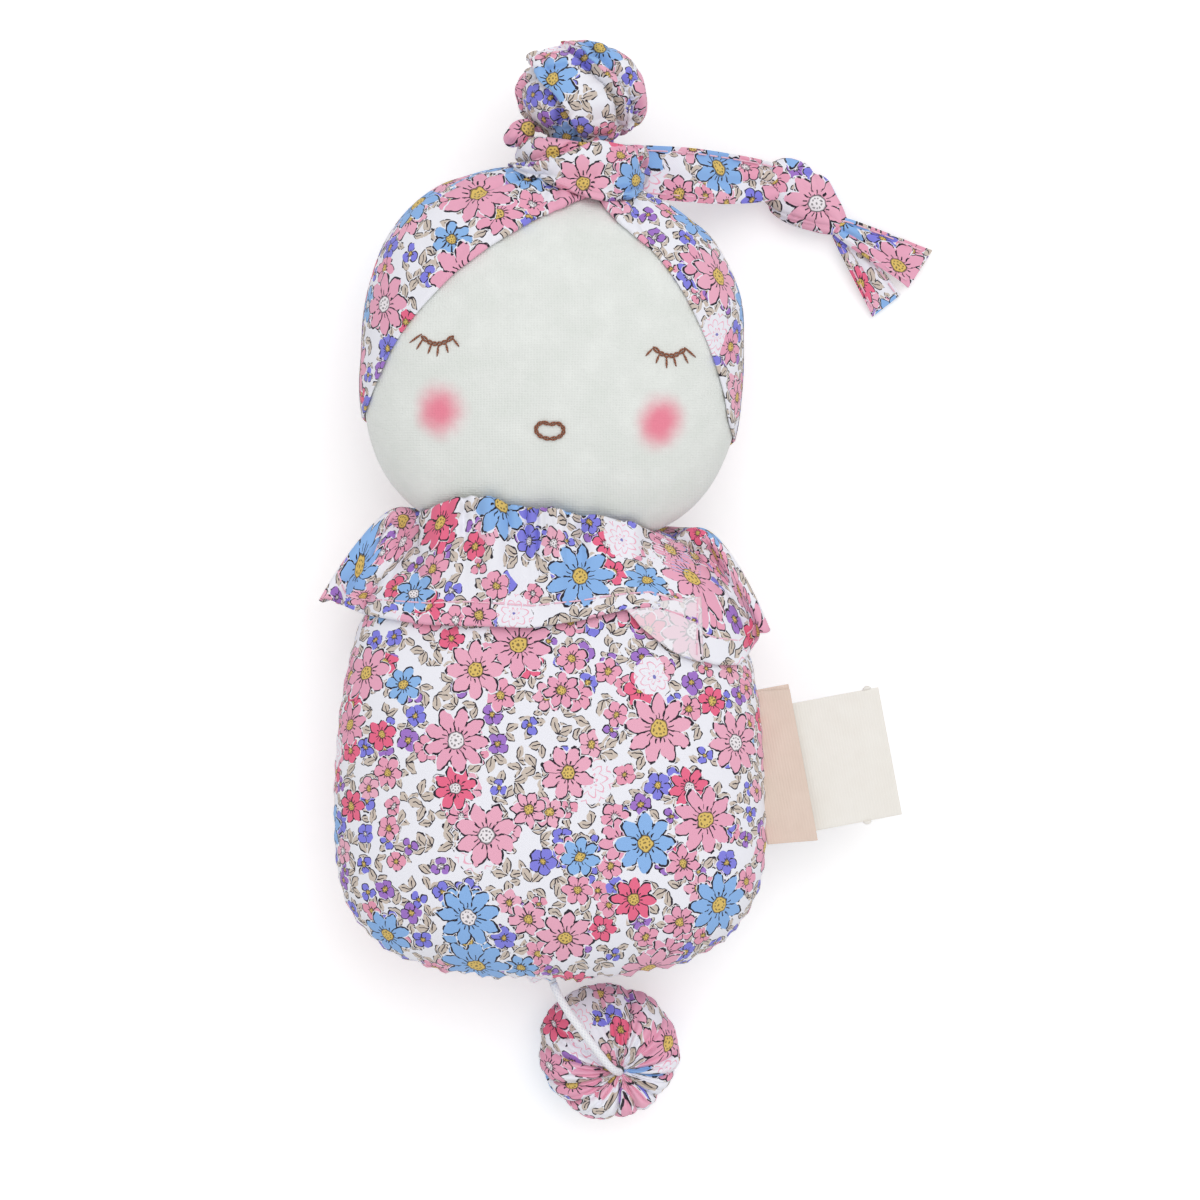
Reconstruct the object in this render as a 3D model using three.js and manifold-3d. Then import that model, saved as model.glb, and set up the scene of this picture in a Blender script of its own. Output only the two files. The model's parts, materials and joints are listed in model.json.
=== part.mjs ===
// Musical doll: a stuffed head and body of sewn cloth, a pull cord with a gathered pom, and the
// spring movement that the cord winds. Millimetres. The doll lies on its back: +Z is up out of its
// face, +Y runs to the topknot, and the origin is the middle of the flat that the body rests on.
import * as THREE from 'three';
import { mergeVertices } from 'three/addons/utils/BufferGeometryUtils.js';
import Module from 'manifold-3d';

const wasm = await Module();
wasm.setup();

// Driving dimensions of the cloth and its fits
const clothWall = 1.2;
const gap = 0.3;
const restFlatDepth = 0.5;

// Driving dimensions of the body
const bodyHalfWidth = 53.75;
const bodyTop = 78;
const bodyBottom = 38.5;
const bodyHalfDepth = 28;
const bodyFullness = 2.8;

// Driving dimensions of the head
const headHalfWidth = 46.8;
const headTop = 48.5;
const headBottom = 43.5;
const headHalfDepth = 29;
const headTopFullness = 2.8;
const headBottomFullness = 2.6;
const headSide = 0.5;
const headUp = 113.25;
const headTilt = 3;
const sectionFullness = 2.2;

// Driving dimensions of the turban and its topknot
const turbanWall = 1.5;
const turbanPeak = [0.248, 0.955];
const turbanLeftEdge = [[-0.31, 0.684], [-0.59, 0.402], [-0.814, 0.096], [-0.947, -0.205], [-1.08, -0.45]];
const turbanRightEdge = [[0.49, 0.7], [0.72, 0.417], [0.868, 0.158], [0.947, -0.105], [1.08, -0.42]];
const napeShare = -0.43;
const bunHalfWidth = 17.5;
const bunHalfHeight = 13.5;
const bunHalfDepth = 16;
const bunLobes = 5;
const bunFold = 0.07;
const bunTwist = 1.5;
const bunSide = 0.6;
const stemRadius = 9;
const bandRadius = 16.5;
const bandHeight = 12.6;
const bandSide = 2.9;
const bandSink = 3.6;
const bandCrown = 2.2;

// Driving dimensions of the tie
const tieWidth = 13;
const tieThickness = 1.8;
const tieReach = 34;
const tieStartUp = 1;
const tieFall = 2;
const tieEndRise = 2.4;
const tieBow = [[0.3, 1.8], [0.65, -0.9]];
const knotHalfLength = 11.4;
const knotHalfWidth = 7.2;
const knotHalfHeight = 4.6;
const knotTurn = -48;
const knotFall = 6.2;
const knotWrap = 0.08;
const endWidth = 10.5;
const endThickness = 1.2;
const upperEndReach = 27;
const lowerEndReach = 27;
const endSpread = 25;
const endHidden = 4;

// Driving dimensions of the collar frill: its neck ring, its roll under the chin and its hem
const frillWall = 1;
const frillTilt = 4;
const neckTuck = 14.8;
const neckDepthShare = 0.6;
const neckUp = 73.5;
const rollTuck = 5.8;
const rollDepthTuck = 3;
const rollRise = 5.5;
const hemOverhang = 0.75;
const hemDepthTuck = 0.6;
const hemFall = 21.5;
const frillFullness = 2.4;
const frillWaves = 13;
const frillWaveHeight = 1.9;
const frillBend = 1.35;
const frillPress = 0.9;

// Driving dimensions of the seam labels
const labelThickness = 0.7;
const labelTurn = 10.5;
const labelUp = 14;
const labelDroop = 7;
const shortLabelWidth = 38.5;
const shortLabelReach = 11.5;
const longLabelWidth = 32.5;
const longLabelReach = 33;
const labelSeat = 2;
const labelHidden = 10;

// Driving dimensions of the cord and its pom
const cordRadius = 1;
const cordClearance = 0.5;
const pomRadius = 17.2;
const pomHalfHeight = 11;
const pomWall = 1;
const pomGathers = 16;
const pomGatherDepth = 0.045;
const pomDimple = 5;
const pomDimpleSpread = 0.5;
const pomSide = 14.25;
const pomDown = 57;
const gatherShift = [3, -6];
const cordKnotRadius = 2.5;
const cordKnotDrop = 4.2;
const cordRise = 1.2;
const cordExit = [0.75, -39.6];
const cordRoute = [[2, -42.6, 27.6], [4.8, -47.4, 26.9], [7.8, -51.6, 25.6], [10.2, -54.9, 24.4],
  [12.4, -57.9, 23.2], [14.4, -60.6, 21.6], [16.1, -62.3, 19.6]];

// Driving dimensions of the movement's case
const caseUp = 6;
const caseRadius = 26.5;
const caseHalfHeight = 16;
const caseWall = 1.5;
const caseEdge = 1.5;
const bossRadius = 2.4;
const bossCircle = 22;
const bossAngles = [20, 140, 260];
const soundHoleRadius = 1.6;
const soundHoleCircle = 13;
const soundHoles = 8;
const screwRadius = 1;
const screwHeadRadius = 1.9;
const screwHeadHeight = 1.2;
const screwLength = 22;
const screwClearance = 0.3;
const runningClearance = 0.1;
const joinDepth = 0.2;

// Driving dimensions of the bedplate and what stands on it
const plateTop = 0.3;
const plateThickness = 1.5;
const plateRadius = 24.5;
const axisHeight = 7;
const postWall = 1.2;
const postHalfWidth = 3;
const postRise = 2.2;
const arborRadius = 0.8;
const arborStub = 0.4;

// Driving dimensions of the reel, its spring and its crown wheel
const drumRadius = 15;
const drumWall = 1.4;
const flangeRadius = 18.2;
const flangeWall = 1;
const reelWidth = 9;
const reelArborRadius = 2;
const hubWall = 1.5;
const hubShort = 1;
const windingTurns = 2.4;
const windingPitch = 2.6;
const springTurns = 4.5;
const springWall = 0.6;
const springWidth = 6.6;
const springPitch = 1.75;
const crownTeeth = 21;
const crownOuter = 9;
const crownInner = 6.4;
const crownToothHeight = 1;
const crownToothShare = 0.4;
const crownFace = 0.2;

// Driving dimensions of the cylinder and the comb
const cylinderRadius = 5;
const pinReach = 0.5;
const pinWidth = 0.45;
const pinsInTrack = 2;
const pinStations = 28;
const stationsPerTrack = 5;
const stationsPerPin = 9.3;
const pinStart = 0.1;
const combTeeth = 18;
const combPitch = 0.96;
const combSlot = 0.36;
const combThickness = 0.9;
const combTongueLong = 11;
const combTongueShort = 6.5;
const combBase = 4.2;
const combScrewRadius = 0.8;
const combScrewDepth = 4;
const combScrewHeadRadius = 1.7;
const combScrewHeadHeight = 1;
const combScrewShares = [0.2, 0.8];
const cylinderStart = -4.6;
const pinionTeeth = 17;
const pinionOuter = 6.4;
const pinionRoot = 5.2;
const pinionWidth = 2.4;
const cylinderWheelTeeth = 20;
const trainModule = 0.5;
const trainWidth = 1.5;
const toothShare = 0.42;
const slimToothShare = 0.36;
const toothFoot = 0.14;
const toothTip = 0.12;
const toothRootDepth = 1.2;

// Driving dimensions of the governor
const governorPinionTeeth = 8;
const wormWheelTeeth = 16;
const wormModule = 0.4;
const wormPitchRadius = 1.5;
const wormTurns = 4;
const threadFoot = 0.34;
const threadTip = 0.14;
const spindleRadius = 0.45;
const fanRadius = 3.8;
const caseHeadroom = 0.4;
const fanWall = 0.5;
const fanHubRadius = 1.1;
const bracketWall = 0.9;
const bracketPost = 1.3;
const bracketHalfWidth = 1.2;
const meshSlack = 0.12;

// Counts of facets
const bodySides = 36;
const bodyRings = 6;
const headSides = 32;
const headRings = 6;
const stuffingSides = 24;
const stuffingRings = 5;
const frillSides = 64;
const frillRows = 5;
const windingSides = 24;
const roundSides = 24;
const holeSides = 8;

// Finishes
const printCotton = new THREE.MeshStandardMaterial({ color: 0xe9c3d2, roughness: 0.85, metalness: 0 });
const velour = new THREE.MeshStandardMaterial({ color: 0xeeede0, roughness: 0.95, metalness: 0 });
const wadding = new THREE.MeshStandardMaterial({ color: 0xf4f3ee, roughness: 1, metalness: 0 });
const labelTape = new THREE.MeshStandardMaterial({ color: 0xf0e2cf, roughness: 0.7, metalness: 0 });
const whiteCord = new THREE.MeshStandardMaterial({ color: 0xf7f7f5, roughness: 0.8, metalness: 0 });
const whitePlastic = new THREE.MeshStandardMaterial({ color: 0xe6e4dc, roughness: 0.4, metalness: 0 });
const zinc = new THREE.MeshStandardMaterial({ color: 0xb6b8ba, roughness: 0.45, metalness: 0.9 });
const steel = new THREE.MeshStandardMaterial({ color: 0xc4c6c8, roughness: 0.3, metalness: 1 });
const brass = new THREE.MeshStandardMaterial({ color: 0xc9a24a, roughness: 0.3, metalness: 1 });

const radians = THREE.MathUtils.degToRad;
const doll = new THREE.Group();

function addPiece(group, name, geometry, material) {
  const mesh = new THREE.Mesh(geometry, material);
  mesh.name = name;
  group.add(mesh);
  return mesh;
}

function bare(geometry) {
  const copy = geometry.clone();
  copy.deleteAttribute('normal');
  copy.deleteAttribute('uv');
  return mergeVertices(copy, 1e-4);
}

function solid(geometry) {
  const merged = bare(geometry);
  return new wasm.Manifold(new wasm.Mesh({
    numProp: 3,
    vertProperties: new Float32Array(merged.attributes.position.array),
    triVerts: new Uint32Array(merged.index.array),
  }));
}

function geometryOf(body) {
  const mesh = body.getMesh();
  const geometry = new THREE.BufferGeometry();
  geometry.setAttribute('position', new THREE.BufferAttribute(new Float32Array(mesh.vertProperties), 3));
  geometry.setIndex(new THREE.BufferAttribute(new Uint32Array(mesh.triVerts), 1));
  geometry.computeVertexNormals();
  return geometry;
}

function cut(geometry, ...cutters) {
  const result = cutters.reduce((body, cutter) => body.subtract(solid(cutter)), solid(geometry));
  return geometryOf(result);
}

function join(geometry, ...others) {
  const result = others.reduce((body, other) => body.add(solid(other)), solid(geometry));
  return geometryOf(result);
}

function keep(geometry, region) {
  return geometryOf(solid(geometry).intersect(solid(region)));
}

function box(low, high) {
  const size = high.map((value, axis) => value - low[axis]);
  const geometry = new THREE.BoxGeometry(...size);
  return geometry.translate(...low.map((value, axis) => value + size[axis] / 2));
}

// A round bar along X, Y or Z between two stations of that axis
function bar(axis, radius, from, to, centre, sides = holeSides) {
  const geometry = new THREE.CylinderGeometry(radius, radius, to - from, sides);
  geometry.translate(0, (from + to) / 2, 0);
  if (axis === 'x') geometry.rotateZ(-Math.PI / 2);
  if (axis === 'z') geometry.rotateX(Math.PI / 2);
  return geometry.translate(...centre);
}

function barBetween(start, end, radius, sides = holeSides) {
  const along = new THREE.Vector3().subVectors(end, start);
  const geometry = new THREE.CylinderGeometry(radius, radius, along.length(), sides);
  geometry.translate(0, along.length() / 2, 0);
  const turn = new THREE.Quaternion().setFromUnitVectors(new THREE.Vector3(0, 1, 0), along.normalize());
  return geometry.applyQuaternion(turn).translate(start.x, start.y, start.z);
}

// A solid of revolution about Z from a profile of [radius, height] points that starts and ends on
// the axis or closes on itself
function turned(profile, sides = roundSides) {
  const points = profile.map(([radius, height]) => new THREE.Vector2(radius, height));
  return new THREE.LatheGeometry(points, sides).rotateX(Math.PI / 2);
}

function tube(innerRadius, outerRadius, low, high, sides = roundSides) {
  return turned([[innerRadius, low], [outerRadius, low], [outerRadius, high],
    [innerRadius, high], [innerRadius, low]], sides);
}

function disc(radius, low, high, sides = roundSides) {
  return turned([[0, low], [radius, low], [radius, high], [0, high]], sides);
}

// A closed skin over rings of points: a first or last ring of one point is a pole, and any other
// is closed by a fan to its middle
function skin(rings) {
  const vertices = [];
  const faces = [];
  const starts = rings.map((ring) => {
    const start = vertices.length;
    vertices.push(...ring);
    return start;
  });
  const count = Math.max(...rings.map((ring) => ring.length));
  const at = (ring, index) => starts[ring] + (rings[ring].length === 1 ? 0 : index % count);
  for (let ring = 0; ring < rings.length - 1; ring += 1) {
    for (let index = 0; index < count; index += 1) {
      const [a, b] = [at(ring, index), at(ring, index + 1)];
      const [c, d] = [at(ring + 1, index), at(ring + 1, index + 1)];
      if (a !== b) faces.push([a, b, d]);
      if (c !== d) faces.push([a, d, c]);
    }
  }
  capRing(rings[0], starts[0], vertices, faces, true);
  capRing(rings.at(-1), starts.at(-1), vertices, faces, false);
  return facing(vertices, faces);
}

function capRing(ring, start, vertices, faces, first) {
  if (ring.length === 1) return;
  const middle = ring.reduce((sum, point) => sum.add(point), new THREE.Vector3()).divideScalar(ring.length);
  vertices.push(middle);
  const centre = vertices.length - 1;
  ring.forEach((point, index) => {
    const next = start + ((index + 1) % ring.length);
    faces.push(first ? [centre, next, start + index] : [centre, start + index, next]);
  });
}

// A geometry of the faces, turned so that they all look outwards
function facing(vertices, faces) {
  const volume = faces.reduce((sum, [a, b, c]) => sum
    + vertices[a].dot(new THREE.Vector3().crossVectors(vertices[b], vertices[c])), 0);
  const wound = volume < 0 ? faces.map(([a, b, c]) => [a, c, b]) : faces;
  const geometry = new THREE.BufferGeometry().setFromPoints(vertices);
  geometry.setIndex(wound.flat());
  geometry.computeVertexNormals();
  return geometry;
}

const power = (value, exponent) => Math.sign(value) * Math.abs(value) ** exponent;

// A stuffed form: an outline that is fuller than an ellipse, swelling to a crown on both faces
function stuffedForm(form, grow, sides, rings) {
  const list = [];
  for (let ring = -rings; ring <= rings; ring += 1) {
    const lift = (ring / rings) * Math.PI / 2;
    const share = Math.abs(ring) === rings ? 0 : Math.cos(lift) ** (2 / sectionFullness);
    const height = (form.depth + grow) * power(Math.sin(lift), 2 / sectionFullness);
    const count = share === 0 ? 1 : sides;
    list.push(Array.from({ length: count }, (_, index) => {
      const angle = (index / sides) * Math.PI * 2;
      const top = Math.sin(angle) >= 0;
      const exponent = 2 / (top ? form.topFullness : form.bottomFullness);
      const reach = (top ? form.top : form.bottom) + grow;
      const across = (form.halfWidth + grow) * power(Math.cos(angle), exponent);
      return new THREE.Vector3(across * share, reach * power(Math.sin(angle), exponent) * share, height);
    }));
  }
  return skin(list);
}

const bodyForm = { halfWidth: bodyHalfWidth, top: bodyTop, bottom: bodyBottom, depth: bodyHalfDepth,
  topFullness: bodyFullness, bottomFullness: bodyFullness };
const headForm = { halfWidth: headHalfWidth, top: headTop, bottom: headBottom, depth: headHalfDepth,
  topFullness: headTopFullness, bottomFullness: headBottomFullness };
const bodyLift = bodyHalfDepth - restFlatDepth;
const headLift = headHalfDepth + gap + turbanWall - restFlatDepth;
const farAway = 200;

const bodyFrame = new THREE.Matrix4().makeTranslation(0, 0, bodyLift);
const headTurn = new THREE.Matrix4().makeRotationZ(radians(-headTilt));
const headFrame = headTurn.clone().setPosition(headSide, headUp, headLift);

function moved(geometry, matrix) {
  return geometry.clone().applyMatrix4(matrix);
}

function bodySolid(grow, sides = bodySides, rings = bodyRings) {
  return stuffedForm(bodyForm, grow, sides, rings);
}

function headSolid(grow, sides = headSides, rings = headRings) {
  return stuffedForm(headForm, grow, sides, rings);
}

function slab(low, high) {
  return box([-farAway, -farAway, low], [farAway, farAway, high]);
}

// The straight run of the cord from the reel to the seam, in the body's own frame
const windingRadius = drumRadius + gap + cordRadius;
const reelLow = -caseHalfHeight + caseWall + gap + runningClearance;
const reelHigh = reelLow + reelWidth + 2 * flangeWall;
const windingLow = reelLow + flangeWall + gap + cordRadius;
const exitPoint = new THREE.Vector3(cordExit[0], cordExit[1], 0);
const reelCentre = new THREE.Vector3(0, caseUp, 0);

function tangentAngle() {
  const toExit = new THREE.Vector3().subVectors(exitPoint, reelCentre);
  const opening = Math.acos(windingRadius / Math.hypot(toExit.x, toExit.y));
  return Math.atan2(toExit.y, toExit.x) - opening;
}

const leaving = tangentAngle();
const tangentPoint = new THREE.Vector3(windingRadius * Math.cos(leaving),
  caseUp + windingRadius * Math.sin(leaving), windingLow);

function cordChannel(radius) {
  const along = new THREE.Vector3().subVectors(exitPoint, tangentPoint);
  const beyond = exitPoint.clone().addScaledVector(along, 0.2);
  return barBetween(tangentPoint, beyond, radius);
}

// Body: two sewn panels over the wadding
function bodyPanel(front) {
  const half = front ? slab(gap / 2, farAway) : slab(-farAway, -gap / 2);
  const shell = cut(keep(bodySolid(0), half), bodySolid(-clothWall));
  const holed = cut(shell, cordChannel(cordRadius + cordClearance));
  return front ? holed : cut(holed, slab(-farAway, -bodyLift));
}

function bodyStuffing() {
  const reach = caseHalfHeight + gap;
  const pocket = disc(caseRadius + gap, -reach, reach).translate(0, caseUp, 0);
  const wad = bodySolid(-clothWall - 2 * gap, stuffingSides, stuffingRings);
  return cut(wad, pocket, cordChannel(cordRadius + cordClearance));
}

function buildBody() {
  const group = new THREE.Group();
  group.position.z = bodyLift;
  addPiece(group, 'body_front_panel', bodyPanel(true), printCotton);
  addPiece(group, 'body_back_panel', bodyPanel(false), printCotton);
  addPiece(group, 'body_stuffing', bodyStuffing(), wadding);
  return group;
}

// Head: a velour face and a velour back over the wadding, dimpled where the neck is sewn on
const headToBody = new THREE.Matrix4().copy(headFrame).invert().multiply(bodyFrame);

function neckCutter(grow) {
  return moved(bodySolid(grow), headToBody);
}

function headPanel(front) {
  const half = front ? slab(gap / 2, farAway) : slab(-farAway, -gap / 2);
  return cut(keep(headSolid(0), half), headSolid(-clothWall), neckCutter(gap));
}

function headStuffing() {
  const wad = headSolid(-clothWall - 2 * gap, stuffingSides, stuffingRings);
  return cut(wad, neckCutter(clothWall + 2 * gap));
}

// The face opening of the turban, as a prism through its front
function faceOpening() {
  const place = ([x, y]) => new THREE.Vector2(x * headHalfWidth, y * headHalfWidth);
  const peak = place(turbanPeak);
  const below = 1.5;
  const shape = new THREE.Shape();
  shape.moveTo(peak.x, peak.y);
  shape.splineThru(turbanRightEdge.map(place));
  shape.lineTo(below * headHalfWidth, -below * headHalfWidth);
  shape.lineTo(-below * headHalfWidth, -below * headHalfWidth);
  const left = turbanLeftEdge.map(place).reverse();
  shape.lineTo(left[0].x, left[0].y);
  shape.splineThru([...left.slice(1), peak]);
  return new THREE.ExtrudeGeometry(shape, { depth: farAway, bevelEnabled: false, curveSegments: 4 });
}

function turbanWrap(left) {
  const split = turbanPeak[0] * headHalfWidth;
  const side = left
    ? box([-farAway, -farAway, -farAway], [split - gap / 2, farAway, farAway])
    : box([split + gap / 2, -farAway, -farAway], [farAway, farAway, farAway]);
  const nape = box([-farAway, -farAway, -farAway], [farAway, napeShare * headHalfWidth, gap / 2]);
  const shell = cut(headSolid(gap + turbanWall), headSolid(gap), faceOpening(), nape);
  return cut(keep(shell, side), slab(-farAway, -headLift));
}

// Topknot: twisted folds on a stem that passes through the band
const turbanCrown = headTop + gap + turbanWall;
const bandLow = turbanCrown - bandSink;
const bandHigh = bandLow + bandHeight;
const bunUp = bandHigh + bunHalfHeight - gap;

function bunFolds() {
  const sides = 5 * bunLobes;
  const rings = 9;
  const list = [];
  for (let ring = 0; ring <= rings; ring += 1) {
    const polar = (ring / rings) * Math.PI;
    const wide = Math.sin(polar);
    const twist = bunLobes * bunTwist * Math.cos(polar);
    const count = ring === 0 || ring === rings ? 1 : sides;
    list.push(Array.from({ length: count }, (_, index) => {
      const angle = (index / sides) * Math.PI * 2;
      const fold = 1 + bunFold * wide * Math.cos(bunLobes * angle + twist);
      const across = bunHalfWidth * wide * fold * Math.cos(angle);
      const depth = bunHalfDepth * wide * fold * Math.sin(angle);
      return new THREE.Vector3(across, bunHalfHeight * Math.cos(polar) * fold, depth);
    }));
  }
  return skin(list).translate(bandSide + bunSide, bunUp, 0);
}

function topknotBun() {
  const seat = bar('y', bandRadius + gap, 0, bandHigh + gap, [bandSide, 0, 0], roundSides);
  const stem = bar('y', stemRadius, headTop / 2, bunUp, [bandSide, 0, 0]);
  const root = headSolid(2 * gap + turbanWall);
  return cut(join(cut(bunFolds(), seat), stem), root);
}

function bandSolid() {
  const inner = stemRadius + gap;
  const edge = bandRadius - bandCrown;
  const side = bandRadius - bandCrown / 4;
  const profile = [[inner, bandLow], [edge, bandLow], [side, bandLow + bandCrown],
    [bandRadius, (bandLow + bandHigh) / 2], [side, bandHigh - bandCrown],
    [edge, bandHigh], [inner, bandHigh], [inner, bandLow]];
  return turned(profile).rotateX(-Math.PI / 2).translate(bandSide, 0, 0);
}

function buildHead() {
  const group = new THREE.Group();
  group.position.set(headSide, headUp, headLift);
  group.rotation.z = radians(-headTilt);
  addPiece(group, 'head_face_panel', headPanel(true), velour);
  addPiece(group, 'head_back_panel', headPanel(false), velour);
  addPiece(group, 'head_stuffing', headStuffing(), wadding);
  addPiece(group, 'turban_left_wrap', turbanWrap(true), printCotton);
  addPiece(group, 'turban_right_wrap', turbanWrap(false), printCotton);
  addPiece(group, 'topknot_bun', topknotBun(), printCotton);
  addPiece(group, 'topknot_band', cut(bandSolid(), headSolid(2 * gap + turbanWall)), printCotton);
  return group;
}

// A strip of folded cloth through the points, its width across the page and its edges rounded
function strip(points, widths, thickness, steps) {
  const curve = new THREE.CatmullRomCurve3(points);
  const up = new THREE.Vector3(0, 0, 1);
  const section = [[-1, 0], [-0.9, 0.5], [0.9, 0.5], [1, 0], [0.9, -0.5], [-0.9, -0.5]];
  const rings = [];
  for (let step = 0; step <= steps; step += 1) {
    const along = step / steps;
    const centre = curve.getPoint(along);
    const tangent = curve.getTangent(along);
    const across = new THREE.Vector3().crossVectors(up, tangent).normalize();
    const normal = new THREE.Vector3().crossVectors(tangent, across).normalize();
    const width = THREE.MathUtils.lerp(widths[0], widths[1], along ** 2);
    rings.push(section.map(([wide, thick]) => centre.clone()
      .addScaledVector(across, wide * width / 2)
      .addScaledVector(normal, thick * thickness)));
  }
  return skin(rings);
}

// Tie: the ribbon leaves the band's right side, droops to the table and ends in a knot
const bandMiddle = new THREE.Vector3(bandSide, (bandLow + bandHigh) / 2, 0);
const tieOffset = new THREE.Vector3(bandRadius + gap, tieStartUp, 0);
const tieStart = bandMiddle.clone().add(tieOffset).applyMatrix4(headFrame);
const knotAcross = tieStart.x + tieReach + knotHalfWidth;
const knotMiddle = new THREE.Vector3(knotAcross, tieStart.y - knotFall, knotHalfHeight + gap);

function tieRibbon() {
  const end = tieStart.clone().add(new THREE.Vector3(tieReach, -tieFall, 0)).setZ(knotMiddle.z + tieEndRise);
  const bowed = tieBow.map(([share, lift]) => {
    const point = tieStart.clone().lerp(end, share);
    return point.setZ(point.z + lift);
  });
  const ribbon = strip([tieStart.clone(), ...bowed, end], [tieWidth, tieWidth / 2], tieThickness, 8);
  return cut(ribbon, moved(headSolid(2 * gap + turbanWall), headFrame));
}

function tieKnot() {
  const sides = 18;
  const rings = 8;
  const list = [];
  for (let ring = 0; ring <= rings; ring += 1) {
    const polar = (ring / rings) * Math.PI;
    const count = ring === 0 || ring === rings ? 1 : sides;
    list.push(Array.from({ length: count }, (_, index) => {
      const angle = (index / sides) * Math.PI * 2;
      const wrap = 1 + knotWrap * Math.cos(2 * angle + 3 * polar) * Math.sin(polar);
      const across = knotHalfWidth * Math.sin(polar) * Math.cos(angle) * wrap;
      const height = knotHalfHeight * Math.sin(polar) * Math.sin(angle);
      return new THREE.Vector3(knotHalfLength * Math.cos(polar), across, height);
    }));
  }
  const knot = skin(list).rotateZ(radians(knotTurn)).translate(...knotMiddle);
  return cut(knot, grownRibbon());
}

// The ribbon's end with room on three sides of it
function grownRibbon() {
  const ribbon = tieRibbon();
  const shifts = [[0, 0, gap], [0, 0, -gap], [gap, 0, 0]];
  return join(ribbon, ...shifts.map((shift) => ribbon.clone().translate(...shift)));
}

function tieEnd(upper) {
  const heading = radians(knotTurn + (upper ? endSpread / 2 : -endSpread / 2));
  const reach = upper ? upperEndReach : lowerEndReach;
  const direction = new THREE.Vector3(Math.cos(heading), Math.sin(heading), 0);
  const foot = knotMiddle.clone().addScaledVector(direction, knotHalfLength - endHidden);
  foot.z = upper ? knotMiddle.z + 0.5 * endThickness + gap : knotMiddle.z - endThickness;
  const tip = foot.clone().addScaledVector(direction, reach);
  tip.z = upper ? 2 * endThickness + gap : endThickness / 2 + gap;
  const middle = foot.clone().lerp(tip, 0.5);
  const end = strip([foot, middle, tip], [endWidth * 0.6, endWidth], endThickness, 5);
  const room = new THREE.SphereGeometry(1, 18, 10);
  const wide = knotHalfWidth * (1 + knotWrap);
  room.scale(knotHalfLength + 2 * gap, wide + 2 * gap, knotHalfHeight + 2 * gap);
  return cut(end, room.rotateZ(radians(knotTurn)).translate(...knotMiddle));
}

function buildTie() {
  const group = new THREE.Group();
  addPiece(group, 'tie_ribbon', tieRibbon(), printCotton);
  addPiece(group, 'tie_knot', tieKnot(), printCotton);
  addPiece(group, 'tie_end_upper', tieEnd(true), printCotton);
  addPiece(group, 'tie_end_lower', tieEnd(false), printCotton);
  return group;
}

// Collar frill: a gathered strip that rises from the neck, rolls over and falls to a waved hem
const frillStations = [[headHalfWidth - neckTuck, 0, headHalfDepth * neckDepthShare],
  [headHalfWidth - rollTuck, rollRise, headHalfDepth - rollDepthTuck],
  [bodyHalfWidth + hemOverhang, -hemFall, headHalfDepth - hemDepthTuck]];

function frillPoint(angle, fall) {
  const curve = new THREE.QuadraticBezierCurve3();
  const [neck, roll, hem] = frillStations;
  const away = (frillBend - 1) / 2;
  const bend = roll.map((value, axis) => value * frillBend - (neck[axis] + hem[axis]) * away);
  curve.v0.set(...neck);
  curve.v1.set(...bend);
  curve.v2.set(...hem);
  const [halfWidth, up, halfDepth] = curve.getPoint(fall).toArray();
  const ripple = frillWaveHeight * fall ** 2 * Math.sin(frillWaves * angle);
  const pressed = Math.sin(angle) < 0 ? 1 - frillPress * Math.sin(angle) ** 2 : 1;
  const across = (halfWidth + ripple * pressed) * power(Math.cos(angle), 2 / frillFullness);
  const depth = (halfDepth + ripple * pressed) * power(Math.sin(angle), 2 / frillFullness);
  return new THREE.Vector3(across, up + 0.5 * ripple * Math.cos(frillWaves * angle), depth);
}

function frillNormal(angle, fall) {
  const step = 1e-3;
  const around = frillPoint(angle + step, fall).sub(frillPoint(angle - step, fall));
  const down = frillPoint(angle, Math.min(fall + step, 1)).sub(frillPoint(angle, Math.max(fall - step, 0)));
  return new THREE.Vector3().crossVectors(around, down).normalize();
}

function frillRing(fall, offset) {
  return Array.from({ length: frillSides }, (_, index) => {
    const angle = (index / frillSides) * Math.PI * 2;
    return frillPoint(angle, fall).addScaledVector(frillNormal(angle, fall), offset);
  });
}

function collarFrill() {
  const falls = Array.from({ length: frillRows + 1 }, (_, row) => row / frillRows);
  const outer = falls.map((fall) => frillRing(fall, frillWall / 2));
  const inner = falls.map((fall) => frillRing(fall, -frillWall / 2)).reverse();
  return closedBand([...outer, ...inner]);
}

// A skin over rings whose last joins the first, as on a ring of any section
function closedBand(rings) {
  const count = rings[0].length;
  const faces = [];
  rings.forEach((ring, row) => {
    const next = (row + 1) % rings.length;
    ring.forEach((point, index) => {
      const [a, b] = [row * count + index, row * count + ((index + 1) % count)];
      const [c, d] = [next * count + index, next * count + ((index + 1) % count)];
      faces.push([a, b, d], [a, d, c]);
    });
  });
  return facing(rings.flat(), faces);
}

function buildCollar() {
  const group = new THREE.Group();
  group.position.set(0, neckUp, bodyLift + gap + frillWall);
  group.rotation.z = radians(-frillTilt);
  const floor = slab(-farAway, -bodyLift - frillWall);
  addPiece(group, 'collar_frill', cut(collarFrill(), floor), printCotton);
  return group;
}

// Labels: two bare woven tapes sewn in the right side seam, the short one on top
function seamLabel(width, reach, lift) {
  const tape = box([-labelHidden, -width / 2, lift], [reach, width / 2, lift + labelThickness]);
  const droop = new THREE.Matrix4().makeRotationY(radians(labelDroop));
  const turn = new THREE.Matrix4().makeRotationZ(radians(labelTurn));
  const place = new THREE.Matrix4().makeTranslation(bodyHalfWidth - labelSeat, labelUp, 0);
  return cut(moved(tape, place.multiply(turn).multiply(droop)), bodySolid(gap));
}

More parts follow.
